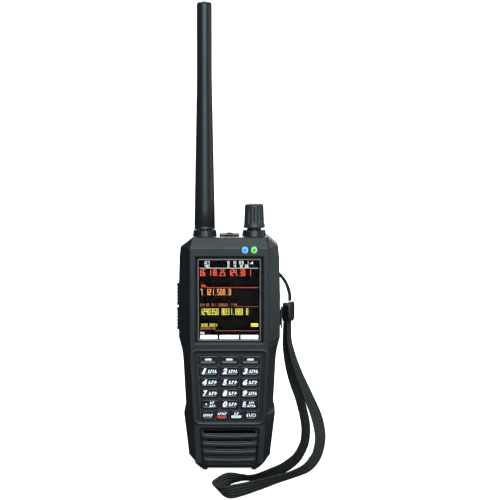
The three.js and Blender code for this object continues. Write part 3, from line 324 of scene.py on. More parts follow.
BAND_WIDTH, BAND_THICKNESS, BAND_RIBS = 9.3 * MM, 1.3 * MM, 5
BAND_STEPS, HALF_STEPS = 1000, 25
PICOT_PITCH, PICOT_DEPTH = 1.1 * MM, 0.045
BAND_POINTS = [  # place, then the way the width lies
    (35.3, 4.6, 89.7, 0.31, 0.95, 0), (34.9, 3.6, 79, 0.31, 0.95, 0.02),
    (35.9, 2.2, 68, 0.36, 0.93, 0.05), (39.2, 0.2, 54.5, 0.45, 0.88, 0.1),
    (44.4, -3, 40.5, 0.55, 0.82, 0.1), (47.2, -6.4, 29, 0.6, 0.8, 0.05),
    (47.4, -10.4, 19.2, 0.6, 0.8, -0.1), (44.4, -16.5, 11.5, 0.52, 0.78, -0.35),
    (38.8, -26, 6.9, 0.35, 0.75, -0.56), (31.2, -38, 5.0, 0.22, 0.75, -0.62),
    (23.4, -47.8, 4.6, 0.15, 0.8, -0.58), (15.4, -55, 4.1, 0.1, 0.85, -0.5),
    (7.6, -58, 4.3, 0.25, 0.82, -0.5), (0.4, -64.5, 5, 0.45, 0.7, -0.5),
    (-4.4, -74, 4.7, 0.6, 0.42, -0.62), (-6.4, -84, 4.7, 0.7, 0.1, -0.7),
    (-4.8, -92.6, 4.9, 0.62, 0.2, -0.74), (1, -96, 5.1, 0.4, 0.36, -0.83),
    (8.4, -90, 5.1, 0.2, 0.5, -0.82), (17, -79.5, 5, 0.12, 0.66, -0.72),
    (26.2, -67, 4.8, 0.15, 0.82, -0.56), (35.8, -53.4, 4.6, 0.2, 0.9, -0.38),
    (44.6, -38.5, 4.8, 0.32, 0.9, -0.3), (51, -27, 6.9, 0.5, 0.82, -0.25),
    (54.9, -20, 12, 0.66, 0.73, -0.15), (56.5, -14.5, 20.5, 0.74, 0.67, -0.02),
    (54.6, -8.6, 31, 0.75, 0.64, 0.12), (49, -3.6, 44.6, 0.62, 0.77, 0.12),
    (43.2, -0.2, 58, 0.47, 0.88, 0.08), (39.2, 2.2, 70, 0.36, 0.93, 0.05),
    (37.2, 3.6, 80, 0.31, 0.95, 0.02), (37.1, 4.4, 89.7, 0.31, 0.95, 0),
]
band = np.array(BAND_POINTS)
band[:, :3] *= MM
band_line, band_length = through(band, BAND_STEPS)
tangent = unit(np.gradient(band_line[:, :3], axis=0))
flat = unit(np.cross(band_line[:, 3:], tangent))
across = np.cross(tangent, flat)
band_rings = []
for n, centre in enumerate(band_line[:, :3]):
    loops = n * band_length / (BAND_STEPS - 1) / PICOT_PITCH
    picot = 1 - PICOT_DEPTH * (0.5 + 0.5 * math.cos(2 * math.pi * loops))
    ring = []
    for side_of_band in (1, -1):
        for i in range(HALF_STEPS):
            w = side_of_band * (1 - 2 * (i + 0.5) / HALF_STEPS)
            rib = abs(math.sin(math.pi * (w + 1) / 2 * BAND_RIBS)) ** 0.8
            edge = min(1, (1 - abs(w)) * 9) ** 0.5
            rise = side_of_band * BAND_THICKNESS / 2 * edge * (0.35 + 0.65 * rib)
            ring.append(centre + across[n] * w * picot * BAND_WIDTH / 2 + flat[n] * rise)
    band_rings.append(ring)
strap_band = piece("strap_band", *skin(band_rings), "case", woven_look, "woven_strap",
                   ["strap_webbing"])
set_along(strap_band, lay_along(len(band_rings), band_length, 2 * HALF_STEPS))


def rounded(half_top, half_foot, z0, z1, radius, steps=6, x=0.0):
    """An upright outline in X and Z with round corners, as (x, z) points from one corner round."""
    corners = [(-half_foot, z0), (half_foot, z0), (half_top, z1), (-half_top, z1)]
    outline = []
    for k, (cx, cz) in enumerate(corners):
        before, after = corners[k - 1], corners[(k + 1) % 4]
        corner = Vector((cx, cz))
        start = (Vector(before) - corner).normalized() * radius
        end = (Vector(after) - corner).normalized() * radius
        for i in range(steps + 1):
            t = i / steps
            point = corner + start * (1 - t) ** 2 + end * t ** 2
            outline.append((point.x + x, point.y))
    return outline


def at_depth(outline, y):
    return [(x, y, z) for x, z in outline]


slider_look = moulded("slider_plastic", (0.012, 0.0135, 0.0145), 0.38)
low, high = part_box("strap_slider")
slider_centre = (low + high) / 2
SLIDER_TURN = math.radians(-18)


def on_slider(x, y, z):
    """A point of the turned slider, from millimetres along its width, depth and height."""
    return (slider_centre.x + (x * math.cos(SLIDER_TURN) - y * math.sin(SLIDER_TURN)) * MM,
            slider_centre.y + (x * math.sin(SLIDER_TURN) + y * math.cos(SLIDER_TURN)) * MM,
            slider_centre.z + z * MM)


slider_rings = []
for level, size in ((-6.2, 0.74), (-6.05, 0.84), (-5.4, 0.92), (-3.6, 0.99), (0, 1), (3.6, 0.99),
                    (5.4, 0.92), (6.05, 0.84), (6.2, 0.74)):
    section = rounded(2.7 * size, 2.7 * size, -5.5 * size, 5.5 * size, 0.9 * size)
    slider_rings.append([on_slider(x, y, level) for x, y in section])
# Painted shade: a near-black, rough patch much darker than the slider, laid on its front-left face to
# stand in for the shade on that face.
shade_patch_rings = []
for reach, level in ((0, -5.3), (0.25, -5.5), (0.25, -5.55)):
    face = rounded(1.9 - reach, 1.9 - reach, -5 + reach, 4.6 - reach, 0.9)
    shade_patch_rings.append([on_slider(x, level, z) for x, z in face])
shade_patch_look = moulded("slider_painted_shade", (0.001, 0.0012, 0.0012), 0.85, Specular_IOR_Level=0.15)
piece("strap_slider_painted_shade", *skin(shade_patch_rings), "case", shade_patch_look, "slider_plastic")
slider = piece("strap_slider_body", *skin(slider_rings), "case", slider_look, "slider_plastic",
               ["strap_slider"])


# ---- Case ------------------------------------------------------------------------------------
# Two shells of glass-filled plastic, black with a fine spark-eroded texture, screwed together on
# a thin rubber seal. The front one has the display window, keypad opening and speaker slots.
WELD_DISTANCE = 2e-6
FLAT_ANGLE, EDGE_ANGLE, EDGE_SEGMENTS = 0.6, 28, 2


def soften(made, width):
    """Joins a faceted solid's flat facets and rounds its edges by width millimetres."""
    made.data.polygons.foreach_set("use_smooth", [True] * len(made.data.polygons))
    weld = made.modifiers.new("weld", "WELD")
    weld.merge_threshold = WELD_DISTANCE
    flatten = made.modifiers.new("flatten", "DECIMATE")
    flatten.decimate_type = "DISSOLVE"
    flatten.angle_limit = math.radians(FLAT_ANGLE)
    edges = made.modifiers.new("edges", "BEVEL")
    edges.width = width * MM
    edges.segments = EDGE_SEGMENTS
    edges.limit_method = "ANGLE"
    edges.angle_limit = math.radians(EDGE_ANGLE)
    edges.miter_outer = "MITER_ARC"
    normals = made.modifiers.new("normals", "WEIGHTED_NORMAL")
    normals.keep_sharp = False


def round_creases(look, radius):
    """Makes a moulding catch the light along its creases, as if they were rounded."""
    tree = look.node_tree
    crease = tree.nodes.new("ShaderNodeBevel")
    crease.samples = 8
    crease.inputs["Radius"].default_value = radius * MM
    wire(tree, (crease.outputs["Normal"], tree.nodes["Bump"].inputs["Normal"]))


def dress(names, look, width):
    """Gives CAD nodes a material, and softened edges where the width isn't 0."""
    for name in names:
        node = nodes[name]
        node.data.materials.clear()
        node.data.materials.append(look)
        if width:
            soften(node, width)


case_look = moulded("case_plastic", (0.0075, 0.0095, 0.011), 0.42, size=1.4, tone=0.15,
                    Specular_Tint=(0.78, 0.92, 1, 1))
round_creases(case_look, 0.8)
dress(["rear_shell"], case_look, 0)
rubber_look = moulded("black_rubber", (0.010, 0.011, 0.012), 0.7, size=0.7, tone=0.15)
dress(["shell_gasket"], rubber_look, 0)
steel_look = moulded("steel", (0.5, 0.51, 0.52), 0.28, size=2, tone=0.1, depth=0.004, Metallic=1.0)
dress([f"case_screw_{i}" for i in range(1, 5)], steel_look, 0.12)


def cut_from(made, name, points, faces):
    """Takes the closed solid of the points and faces out of a piece."""
    tool = piece(name, points, faces, "case", case_look, "case_plastic")
    cutter = made.modifiers.new(name, "BOOLEAN")
    cutter.object, cutter.operation, cutter.solver = tool, "DIFFERENCE", "EXACT"
    bpy.context.view_layer.objects.active = made
    with bpy.context.temp_override(object=made, active_object=made):
        bpy.ops.object.modifier_apply(modifier=name)
    bpy.data.objects.remove(tool)


def mm_rings(*levels):
    """Rings from (outline in millimetres, depth behind the front face in millimetres)."""
    return [at_depth([(x * MM, z * MM) for x, z in outline], FRONT + depth * MM)
            for outline, depth in levels]


GRILLE_TOP, GRILLE_FOOT = 26.7, 4.6
GRILLE_HALF_TOP, GRILLE_HALF_FOOT = 18.2, 16.6


def grille_outline(grow):
    return rounded(GRILLE_HALF_TOP + grow, GRILLE_HALF_FOOT + grow, GRILLE_FOOT - grow,
                   GRILLE_TOP + grow, 1.6 + grow)


FACET_ANGLE = 8
shell_mesh = nodes["front_shell"].data.copy()
shell_mesh.materials.clear()
shell_mesh.materials.append(case_look)
front_shell = bpy.data.objects.new("front_shell_moulding", shell_mesh)
bpy.context.scene.collection.objects.link(front_shell)
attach(front_shell, "case")
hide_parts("front_shell")
cut_from(front_shell, "grille_recess", *skin(mm_rings(
    (grille_outline(0.5), -1), (grille_outline(0.5), 0.05), (grille_outline(-0.4), 1.5))))
welded = bmesh.new()
welded.from_mesh(shell_mesh)
bmesh.ops.remove_doubles(welded, verts=welded.verts, dist=WELD_DISTANCE)
welded.to_mesh(shell_mesh)
welded.free()
if "custom_normal" in shell_mesh.attributes:
    shell_mesh.attributes.remove(shell_mesh.attributes["custom_normal"])
shell_mesh.polygons.foreach_set("use_smooth", [True] * len(shell_mesh.polygons))
shell_mesh.set_sharp_from_angle(angle=math.radians(FACET_ANGLE))

# Speaker grille: four bars cross the recess, each with a crowned face and an upper edge that
# sags in the middle, so that the slots between them are widest there.
GRILLE_BARS, BAR_TOP, BAR_PITCH, TAPER_HEIGHT = 4, 22.95, 5, 22
for bar in range(GRILLE_BARS):
    top = BAR_TOP - BAR_PITCH * bar
    taper = GRILLE_HALF_TOP - GRILLE_HALF_FOOT
    half = GRILLE_HALF_FOOT + taper * (top - GRILLE_FOOT) / TAPER_HEIGHT
    rings = []
    for x in np.linspace(-half, half, 33):
        sag = 0.75 * (1 - (x / half) ** 2)
        upper, lower = top + 0.55 - sag, top - 3.05 - 0.2 * sag
        end = max(0, abs(x) - half + 1.6) / 1.6
        depth = 0.15 + 0.7 * end ** 2
        section = [(1.9, upper - 0.05), (depth + 0.4, upper), (depth + 0.12, upper - 0.12),
                   (depth, upper - 0.4), (depth, lower + 0.45), (depth + 0.15, lower + 0.15),
                   (depth + 0.5, lower), (1.9, lower + 0.05)]
        rings.append([(x * MM, FRONT + y * MM, z * MM) for y, z in section])
    piece(f"grille_bar_{bar + 1}", *skin(rings), "case", case_look, "case_plastic", sharp=60)

# A near-black cloth with no sheen at all behind the grille slots: partly a dust cloth, partly painted
# shade standing in for the shade inside the slots.
cloth_and_shade_look = moulded("speaker_cloth_and_shade", (0.001, 0.001, 0.001), 0.9, size=3, tone=0.3, depth=0.05,
                     Specular_IOR_Level=0)
piece("speaker_cloth_and_shade", *skin(mm_rings((rounded(18.4, 16.6, 4.4, 26.2, 2), 2.75),
                                      (rounded(18.4, 16.6, 4.4, 26.2, 2), 2.15),
                                      (rounded(18.2, 16.4, 4.6, 26.0, 2), 2.05))),
      "case", cloth_and_shade_look, "black_rubber")

# Raised frame moulded round the keypad, with a round-cornered rim and a wide inner slope.
PAD_TOP, PAD_FOOT, PAD_HALF_TOP, PAD_HALF_FOOT = 74.0, 31.5, 20.4, 18.2


def pad_outline(grow, top=0.0, foot=0.0, radius=2.2):
    return rounded(PAD_HALF_TOP + grow, PAD_HALF_FOOT + grow, PAD_FOOT - grow - foot,
                   PAD_TOP + grow + top, radius)


RIM = 4.5
piece("keypad_rim", *skin(mm_rings(
    (pad_outline(RIM, -1.6, -1.8, 4.5), 2.0), (pad_outline(RIM, -1.6, -1.8, 4.5), 0.3),
    (pad_outline(RIM - 0.12, -1.6, -1.8, 4.4), -0.1), (pad_outline(RIM - 0.4, -1.6, -1.8, 4.2), -0.3),
    (pad_outline(RIM - 0.8, -1.6, -1.8, 4), -0.36), (pad_outline(1.5, -0.4, -0.4, 3), -0.3),
    (pad_outline(1.2, -0.3, -0.3, 2.9), -0.12), (pad_outline(0.4, 0, 0, 2.4), 1.35),
    (pad_outline(0.15, 0, 0, 2.3), 1.5), (pad_outline(0.15, 0, 0, 2.3), 2.2)), closed=True),
    "case", case_look, "case_plastic", sharp=50)

# ---- Display ---------------------------------------------------------------------------------
# A satin metal frame holds a thin window over a colour panel, whose picture is rows of figures;
# the two status lenses pressed in above it are tinted light guides, brighter round the rim.
def lit(name, colour, strength):
    """A surface that glows in its own colour."""
    return moulded(name, colour, 0.5, tone=0.1, depth=0.0, Emission_Color=(*colour, 1),
                   Emission_Strength=strength)


def bar_shape(x0, x1, z0, z1, slant=0.0):
    """A flat four-sided mark, leaning to the right by slant times its height."""
    lean = slant * (z1 - z0)
    return [(x0, z0), (x1, z0), (x1 + lean, z1), (x0 + lean, z1)], [(0, 1, 2, 3)]


def figures(text, x0, x1, z0, z1, bold=0.0, slant=0.0):
    """Filled outlines of figures, fitted between the given sides in millimetres."""
    curve = bpy.data.curves.new("figures", "FONT")
    curve.body, curve.shear, curve.offset, curve.resolution_u = text, slant, bold, 4
    setter = bpy.data.objects.new("figures", curve)
    bpy.context.scene.collection.objects.link(setter)
    bpy.context.view_layer.update()
    mesh = bpy.data.meshes.new_from_object(setter.evaluated_get(
        bpy.context.evaluated_depsgraph_get()))
    flat = np.array([v.co[:2] for v in mesh.vertices])
    faces = [tuple(f.vertices) for f in mesh.polygons]
    bpy.data.objects.remove(setter)
    bpy.data.curves.remove(curve)
    low, high = flat.min(0), flat.max(0)
    flat = (flat - low) / (high - low) * (x1 - x0, z1 - z0) + (x0, z0)
    return [tuple(p) for p in flat], faces


def ring_shape(x, z, outer, inner, start=0.0, stop=360.0, steps=24):
    """A flat ring, or part of one between two angles in degrees."""
    points = []
    for i in range(steps + 1):
        turn = math.radians(start + (stop - start) * i / steps)
        for radius in (outer, inner):
            points.append((x + radius * math.cos(turn), z + radius * math.sin(turn)))
    return points, [(2 * i, 2 * i + 1, 2 * i + 3, 2 * i + 2) for i in range(steps)]


def print_on(name, shapes, y, body, look):
    """Flat marks facing the front at depth y, all in one piece."""
    points, faces = [], []
    for outline, parts in shapes:
        faces += [tuple(i + len(points) for i in part) for part in parts]
        points += [(x * MM, y, z * MM) for x, z in outline]
    mesh = bpy.data.meshes.new(name)
    mesh.from_pydata(points, [], faces)
    form = bmesh.new()
    form.from_mesh(mesh)
    for face in form.faces:
        face.normal_update()
        if face.normal.y > 0:
            face.normal_flip()
    form.to_mesh(mesh)
    form.free()
    mesh.materials.append(look)
    made = bpy.data.objects.new(name, mesh)
    bpy.context.scene.collection.objects.link(made)
    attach(made, body)
    return made


frame_look = moulded("frame_grey", (0.16, 0.16, 0.165), 0.35, tone=0.06, depth=0.004, Metallic=0.6)
dress(["display_frame"], frame_look, 0.15)
glass_look = moulded("display_window", (0.95, 0.95, 0.96), 0.0, tone=0.0, depth=0.0,
                     Transmission_Weight=1.0, IOR=1.1)
nodes["display_glass"].data.materials.clear()
nodes["display_glass"].data.materials.append(glass_look)
panel_look = moulded("display_panel", (0.0008, 0.0008, 0.001), 0.7, tone=0.3, depth=0.0,
                     Specular_IOR_Level=0.02)
dress(["lcd_panel"], panel_look, 0)
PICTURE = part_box("lcd_panel")[0].y - 0.06 * MM
WHITE = lit("picture_white", (0.75, 0.76, 0.78), 0.6)
RED = lit("picture_red", (0.75, 0.06, 0.02), 0.5)
ORANGE = lit("picture_orange", (0.7, 0.28, 0.07), 0.5)
YELLOW = lit("picture_yellow", (0.62, 0.58, 0.05), 0.5)
DUSKY = lit("picture_dusky", (0.36, 0.09, 0.04), 0.5)


STROKES = {"0": "abcdef", "1": "bc", "2": "abged", "3": "abgcd", "4": "fgbc", "5": "afgcd",
           "6": "afgedc", "7": "abc", "8": "abcdefg", "9": "gfabcd"}


def figure_row(text, x0, x1, z0, z1, stroke=0.2):
    """Seven-stroke figures in equal cells, as a small panel sets them."""
    cell, middle, shapes = (x1 - x0) / len(text), (z0 + z1) / 2, []
    for i, figure in enumerate(text):
        left = x0 + cell * (i + 0.08)
        right = x0 + cell * (i + 0.8)
        bars = {"a": (left, right, z1 - stroke, z1), "d": (left, right, z0, z0 + stroke),
                "g": (left, right, middle - stroke / 2, middle + stroke / 2),
                "b": (right - stroke, right, middle, z1), "c": (right - stroke, right, z0, middle),
                "f": (left, left + stroke, middle, z1), "e": (left, left + stroke, z0, middle)}
        shapes += [bar_shape(*bars[name]) for name in STROKES.get(figure, "")]
        if figure == ".":
            shapes.append(bar_shape(left + cell * 0.2, left + cell * 0.2 + stroke, z0, z0 + stroke))
    return shapes


print_on("picture_header", [
    *figure_row("07", -15.1, -11.9, 129.2, 130.9), *figure_row("40", -15.1, -11.9, 127.1, 128.8),
    *figure_row("8", -1.2, 0.4, 129.2, 130.9), *figure_row("2", -1.2, 0.4, 127.1, 128.8),
    *figure_row("15", 1.9, 4.4, 129.2, 130.9), *figure_row("4", 2.7, 4.4, 127.1, 128.8),
    *figure_row("03 1", 6.0, 12.0, 129.2, 130.9), *figure_row("12 26", 6.0, 12.0, 127.1, 128.8),
    bar_shape(12.9, 13.3, 129.2, 129.7), bar_shape(13.5, 13.9, 129.2, 130.2),
    bar_shape(14.1, 14.5, 129.2, 130.8), bar_shape(-18, 17.9, 126.62, 126.78)],
    PICTURE, "case", WHITE)
print_on("picture_red", [
    *figure_row("06 118.25 124.30 1", -18, 13.6, 121.9, 125.8, 0.3),
    *figure_row("125", -18, -14.4, 114.9, 116.5), bar_shape(-14, 17.9, 114.52, 114.68)],
    PICTURE, "case", RED)
print_on("picture_orange", [*figure_row("7 121.500.0", -18, 1.3, 110.0, 113.7, 0.3)],
         PICTURE, "case", ORANGE)
print_on("picture_dusky", [
    *figure_row("0412.91.2650.118", -18, 4.8, 103.1, 104.7), bar_shape(4.8, 17.9, 102.75, 102.9),
    *figure_row("06250418", -18, -8.6, 88.5, 89.9), bar_shape(-8.4, 17.9, 87.72, 87.86)],
    PICTURE, "case", DUSKY)
print_on("picture_yellow", [
    *figure_row("1240350 8031.880 8", -18, 11.9, 97.7, 101.6, 0.3),
    *figure_row("1650.0931", -18, -7.4, 90.4, 92.2), bar_shape(13.4, 17.7, 90.4, 92.4)],
    PICTURE, "case", YELLOW)
print_on("picture_tag", [*figure_row("2650", 13.7, 17.4, 90.8, 92.0)], PICTURE - 0.03 * MM, "case",
         panel_look)
print_on("picture_keys", [
    *figure_row("06", -18, -15.2, 85.7, 87.0), bar_shape(-17.9, -7.3, 82.8, 85.1),
    bar_shape(-6.1, 5.8, 82.8, 85.1), bar_shape(7.0, 17.8, 82.8, 85.1)],
    PICTURE, "case", WHITE)
print_on("picture_key_marks", [
    *figure_row("0625", -15.8, -9.4, 83.3, 84.6), *figure_row("250", -2.4, 2.2, 83.3, 84.6),
    *figure_row("12650", 8.4, 16.4, 83.3, 84.6)], PICTURE - 0.03 * MM, "case", panel_look)


def disc_rings(x, z, levels, steps=40):
    """Rings of a round part along Y from (radius, depth behind the front face)."""
    return [[((x + radius * math.cos(2 * math.pi * i / steps)) * MM, FRONT + depth * MM,
              (z + radius * math.sin(2 * math.pi * i / steps)) * MM) for i in range(steps)]
            for radius, depth in levels]


for lens_node, rim, heart in (
        ("status_lens_left", (0.18, 0.5, 0.92), (0.01, 0.17, 0.58)),
        ("status_lens_right", (0.2, 0.68, 0.24), (0.02, 0.3, 0.04))):
    low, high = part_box(lens_node)
    x, z = (low.x + high.x) / 2 / MM, (low.z + high.z) / 2 / MM
    slot = "lens_blue" if lens_node.endswith("left") else "lens_green"
    piece(lens_node + "_guide", *skin(disc_rings(x, z, (
        (2.0, 3.4), (2.05, 0.5), (1.95, 0.1), (1.75, -0.1), (1.5, -0.2), (1.1, -0.12), (0.9, 0)))),
        "case", lit(lens_node + "_rim", rim, 0.45), slot, [lens_node], sharp=60)
    piece(lens_node + "_heart", *skin(disc_rings(x, z, (
        (1.2, 0.4), (1.15, -0.1), (0.95, -0.19), (0.5, -0.26), (0.1, -0.28)))),
        "case", lit(lens_node + "_centre", heart, 0.5), slot, sharp=60)

# ---- Keypad ----------------------------------------------------------------------------------
# One moulded rubber mat fills the keypad opening, with a hard cap standing in a pocket of it for
# every key. The caps are dished, with lit white figures, small marks shaped like letters, and a
# capital E on the enter key.
mat_look = moulded("keypad_rubber", (0.014, 0.0125, 0.0145), 0.55)
dress(["keypad_mat"], mat_look, 0.22)
key_look = moulded("key_plastic", (0.007, 0.012, 0.021), 0.3, tone=0.2)
print_look = lit("key_print", (0.72, 0.84, 0.9), 0.5)
red_print_look = lit("key_print_red", (0.5, 0.03, 0.03), 0.2)


def small_marks(x0, x1, z0, z1, count):
    """A run of leaning uprights with one crossbar each, which read as L and F but spell nothing."""
    pitch = (x1 - x0) / count
    shapes = []
    for i in range(count):
        at = x0 + i * pitch
        shapes.append(bar_shape(at, at + pitch * 0.36, z0, z1, 0.25))
        level = z0 + (z1 - z0) * (0.0, 0.68, 0.36)[i % 3]
        shapes.append(bar_shape(at + pitch * 0.2, at + pitch * 0.85, level,
                                level + (z1 - z0) * 0.3, 0.25))
    return shapes


KEY_FIGURES = {"key_point": ".", "key_enter": ""}
for number in range(10):
    KEY_FIGURES[f"key_{number}"] = str(number)
for name in sorted(n for n in nodes if n.startswith(("key_", "soft_key_", "function_key_"))):
    if name == "keypad_mat":
        continue
    low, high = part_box(name)
    x, z = (low.x + high.x) / 2 / MM, (low.z + high.z) / 2 / MM
    half_x, half_z = (high.x - low.x) / 2 / MM, (high.z - low.z) / 2 / MM
    face = (low.y - FRONT) / MM
    rings = mm_rings(*[(rounded(half_x - inset, half_x - inset, z - half_z + inset,
                                z + half_z - inset, max(0.5, 1.7 - inset * 0.6), x=x), depth)
                       for inset, depth in ((0, face + 1.5), (0, face + 0.45), (0.08, face + 0.2),
                                            (0.28, face + 0.05), (0.55, face), (0.95, face + 0.07),
                                            (1.6, face + 0.2), (2.3, face + 0.26))])
    piece(name + "_cap", *skin(rings), name + "_body", key_look, "key_plastic", [name], sharp=70)
    left, width = x - half_x, 2 * half_x
    shapes = []
    if name.startswith("soft_key"):
        shapes = [bar_shape(x - 1.95, x + 1.95, z - 0.1, z + 1.0)]
    elif name in KEY_FIGURES and KEY_FIGURES[name] not in ("", "."):
        shapes = [figures(KEY_FIGURES[name], left + width * 0.13, left + width * 0.39, z - 1.75,
                          z + 1.8, 0.05, 0.3),
                  *small_marks(left + width * 0.46, left + width * 0.93, z - 0.95, z + 0.95,
                               4 if name in ("key_1", "key_2", "key_3", "key_9") else 3)]
    elif name == "key_point":
        shapes = [bar_shape(left + width * 0.24, left + width * 0.32, z - 0.4, z + 0.4, 0.2),
                  *small_marks(left + width * 0.5, left + width * 0.76, z + 0.35, z + 1.75, 2),
                  *small_marks(left + width * 0.48, left + width * 0.8, z - 1.75, z - 0.35, 3)]
    elif name == "key_enter":
        shapes = [bar_shape(left + width * 0.14, left + width * 0.2, z - 1.5, z + 1.6, 0.25),
                  *[bar_shape(left + width * 0.2, left + width * 0.33, z + at, z + at + 0.55, 0.25)
                    for at in (-1.5, -0.2, 1.05)],
                  *small_marks(left + width * 0.5, left + width * 0.8, z + 0.35, z + 1.65, 3),
                  *small_marks(left + width * 0.42, left + width * 0.88, z - 1.6, z - 0.3, 4)]
    elif name == "function_key_1":
        shapes = small_marks(left + width * 0.12, left + width * 0.9, z - 0.75, z + 0.8, 5)
    elif name == "function_key_2":
        shapes = small_marks(left + width * 0.14, left + width * 0.86, z + 0.3, z + 1.7, 5)
        print_on("function_key_2_strip", [bar_shape(left + width * 0.06, left + width * 0.8,
                                                    z - 1.55, z - 0.35, 0.2)],
                 FRONT + (face - 0.04) * MM, name + "_body", red_print_look)
    elif name == "function_key_3":
        shapes = [*small_marks(left + width * 0.3, left + width * 0.7, z + 0.35, z + 1.7, 2),
                  bar_shape(left + width * 0.08, left + width * 0.84, z - 1.6, z - 0.2, 0.2)]
        print_on("function_key_3_marks", small_marks(left + width * 0.2, left + width * 0.78,
                                                     z - 1.3, z - 0.55, 4),
                 FRONT + (face - 0.08) * MM, name + "_body", key_look)
    else:
        shapes = [ring_shape(left + width * 0.3, z + 0.1, 1.0, 0.72, -20, 200),
                  bar_shape(left + width * 0.16, left + width * 0.26, z - 0.9, z + 0.2),
                  bar_shape(left + width * 0.36, left + width * 0.44, z - 0.9, z + 0.2),
                  bar_shape(left + width * 0.5, left + width * 0.54, z - 1.1, z + 1.2, 0.25),
                  ring_shape(left + width * 0.76, z, 1.05, 0.75, 110, 430),
                  bar_shape(left + width * 0.745, left + width * 0.775, z + 0.1, z + 1.25)]
    print_on(name + "_print", shapes, FRONT + (face - 0.04) * MM, name + "_body", print_look)

# ---- Side keys, knob, antenna, covers --------------------------------------------------------
# Two side keys stand in a rubber surround pressed into the left wall. Rubber covers plug the
# sockets, and the battery door's lock and the loudspeaker's cone have the same dull finish.
dress(["side_key_upper", "side_key_lower"], key_look, 0.3)
dress(["earphone_cover", "usb_cover", "battery_latch", "speaker_cone"], rubber_look, 0.25)
dress(["side_key_surround"], rubber_look, 0)

# The knob is moulded with twelve narrow grooves round a tapering barrel, a skirt below and a
# softly rounded crown.
knob_look = moulded("knob_plastic", (0.020, 0.023, 0.026), 0.45, Specular_Tint=(0.78, 0.92, 1, 1))
low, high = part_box("knob")
knob_x, knob_y = (low.x + high.x) / 2, (low.y + high.y) / 2
KNOB_STEPS, HALF_FLUTE = 144, 6
FLUTE_WIDTH, FLUTE_DEPTH, FACE_CROWN = 0.26, 0.34, 0.12
knob_profile = [(4.9, 0.0, 0), (6.2, 0.0, 0), (6.55, 0.12, 0), (6.7, 0.45, 0), (6.66, 1.5, 0),
                (6.45, 2.0, 0), (6.38, 2.3, 0.4), (6.33, 2.9, 1), (6.2, 6, 1), (6.02, 10, 1),
                (5.88, 12.9, 1), (5.84, 13.3, 0.5), (5.8, 13.6, 0), (5.6, 14.2, 0), (5.2, 14.7, 0),
                (4.5, 15.0, 0), (3.4, 15.15, 0), (2.2, 15.2, 0), (0.4, 15.2, 0)]
knob_rings = []
for radius, height, fluted in knob_profile:
    ring = []
    for i in range(KNOB_STEPS):
        turn = 2 * math.pi * i / KNOB_STEPS
        across_flute = abs((i + HALF_FLUTE) % (2 * HALF_FLUTE) - HALF_FLUTE) / HALF_FLUTE
        groove = max(0.0, 1 - (across_flute / FLUTE_WIDTH) ** 2) * FLUTE_DEPTH * fluted
        crown = FACE_CROWN * fluted * (1 - math.cos(math.pi * across_flute)) / 2
        r = (radius - groove - FACE_CROWN * fluted + crown) * MM
        ring.append((knob_x + r * math.sin(turn), knob_y - r * math.cos(turn), low.z + height * MM))
    knob_rings.append(ring)
piece("knob_moulding", *skin(knob_rings), "knob_body", knob_look, "knob_plastic", ["knob"], sharp=55)


def turned_rings(x, y, foot, profile, steps=64):
    """Rings of a round part standing at x, y from (radius, height above foot) in millimetres."""
    return [[(x + r * MM * math.cos(2 * math.pi * i / steps),
              y + r * MM * math.sin(2 * math.pi * i / steps), foot + h * MM) for i in range(steps)]
            for r, h in profile]


# The antenna is a sprung wire in a tapered rubber sheath, moulded on to a collar.
whip_look = moulded("antenna_sheath", (0.010, 0.012, 0.0135), 0.42, size=2,
                    Specular_Tint=(0.78, 0.92, 1, 1))
low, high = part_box("antenna_whip")
whip_x, whip_y = (low.x + high.x) / 2, (low.y + high.y) / 2
whip_profile = [(5.0, 10.7), (5.0, 0.1), (6.2, 0.0), (6.42, 0.2), (6.45, 0.5), (6.43, 1.6),
                (6.3, 1.75), (6.3, 2.0), (6.4, 2.15), (6.2, 12), (5.8, 32), (5.42, 52), (5.05, 72),
                (4.7, 90), (4.65, 95), (4.65, 137.2), (4.6, 137.9), (4.4, 138.6), (4.0, 139.1),
                (3.3, 139.4), (1.5, 139.5), (1.3, 139.55), (1.25, 139.75), (0.9, 139.8), (0.2, 139.8)]
piece("antenna_sheath", *skin(turned_rings(whip_x, whip_y, low.z, whip_profile)), "antenna",
      whip_look, "antenna_sheath", ["antenna_whip"], sharp=50)

tin_look = moulded("tin_plate", (0.6, 0.6, 0.58), 0.3, tone=0.1, depth=0.004, Metallic=1.0)
bushing_look = moulded("dark_steel", (0.02, 0.02, 0.021), 0.4, tone=0.1, depth=0.004, Metallic=0.6)
dress(["encoder"], bushing_look, 0.12)
dress(["antenna_ferrule", "usb_socket", "rf_shield", "speaker_basket"], tin_look, 0.12)
gold_look = moulded("gold_plate", (0.75, 0.55, 0.2), 0.3, tone=0.1, depth=0.004, Metallic=1.0)
dress(["antenna_jack"], gold_look, 0.15)
dress(["knob_spindle", "clip_pin", "clip_spring"], steel_look, 0.12)
dress(["battery_cover", "clip_plate", "belt_clip", "earphone_socket"], case_look, 0.3)
board_look = moulded("board", (0.01, 0.11, 0.04), 0.35)
dress(["main_board"], board_look, 0.1)
wrap_look = moulded("battery_wrap", (0.03, 0.04, 0.05), 0.3)
dress(["battery_pack"], wrap_look, 0.6)

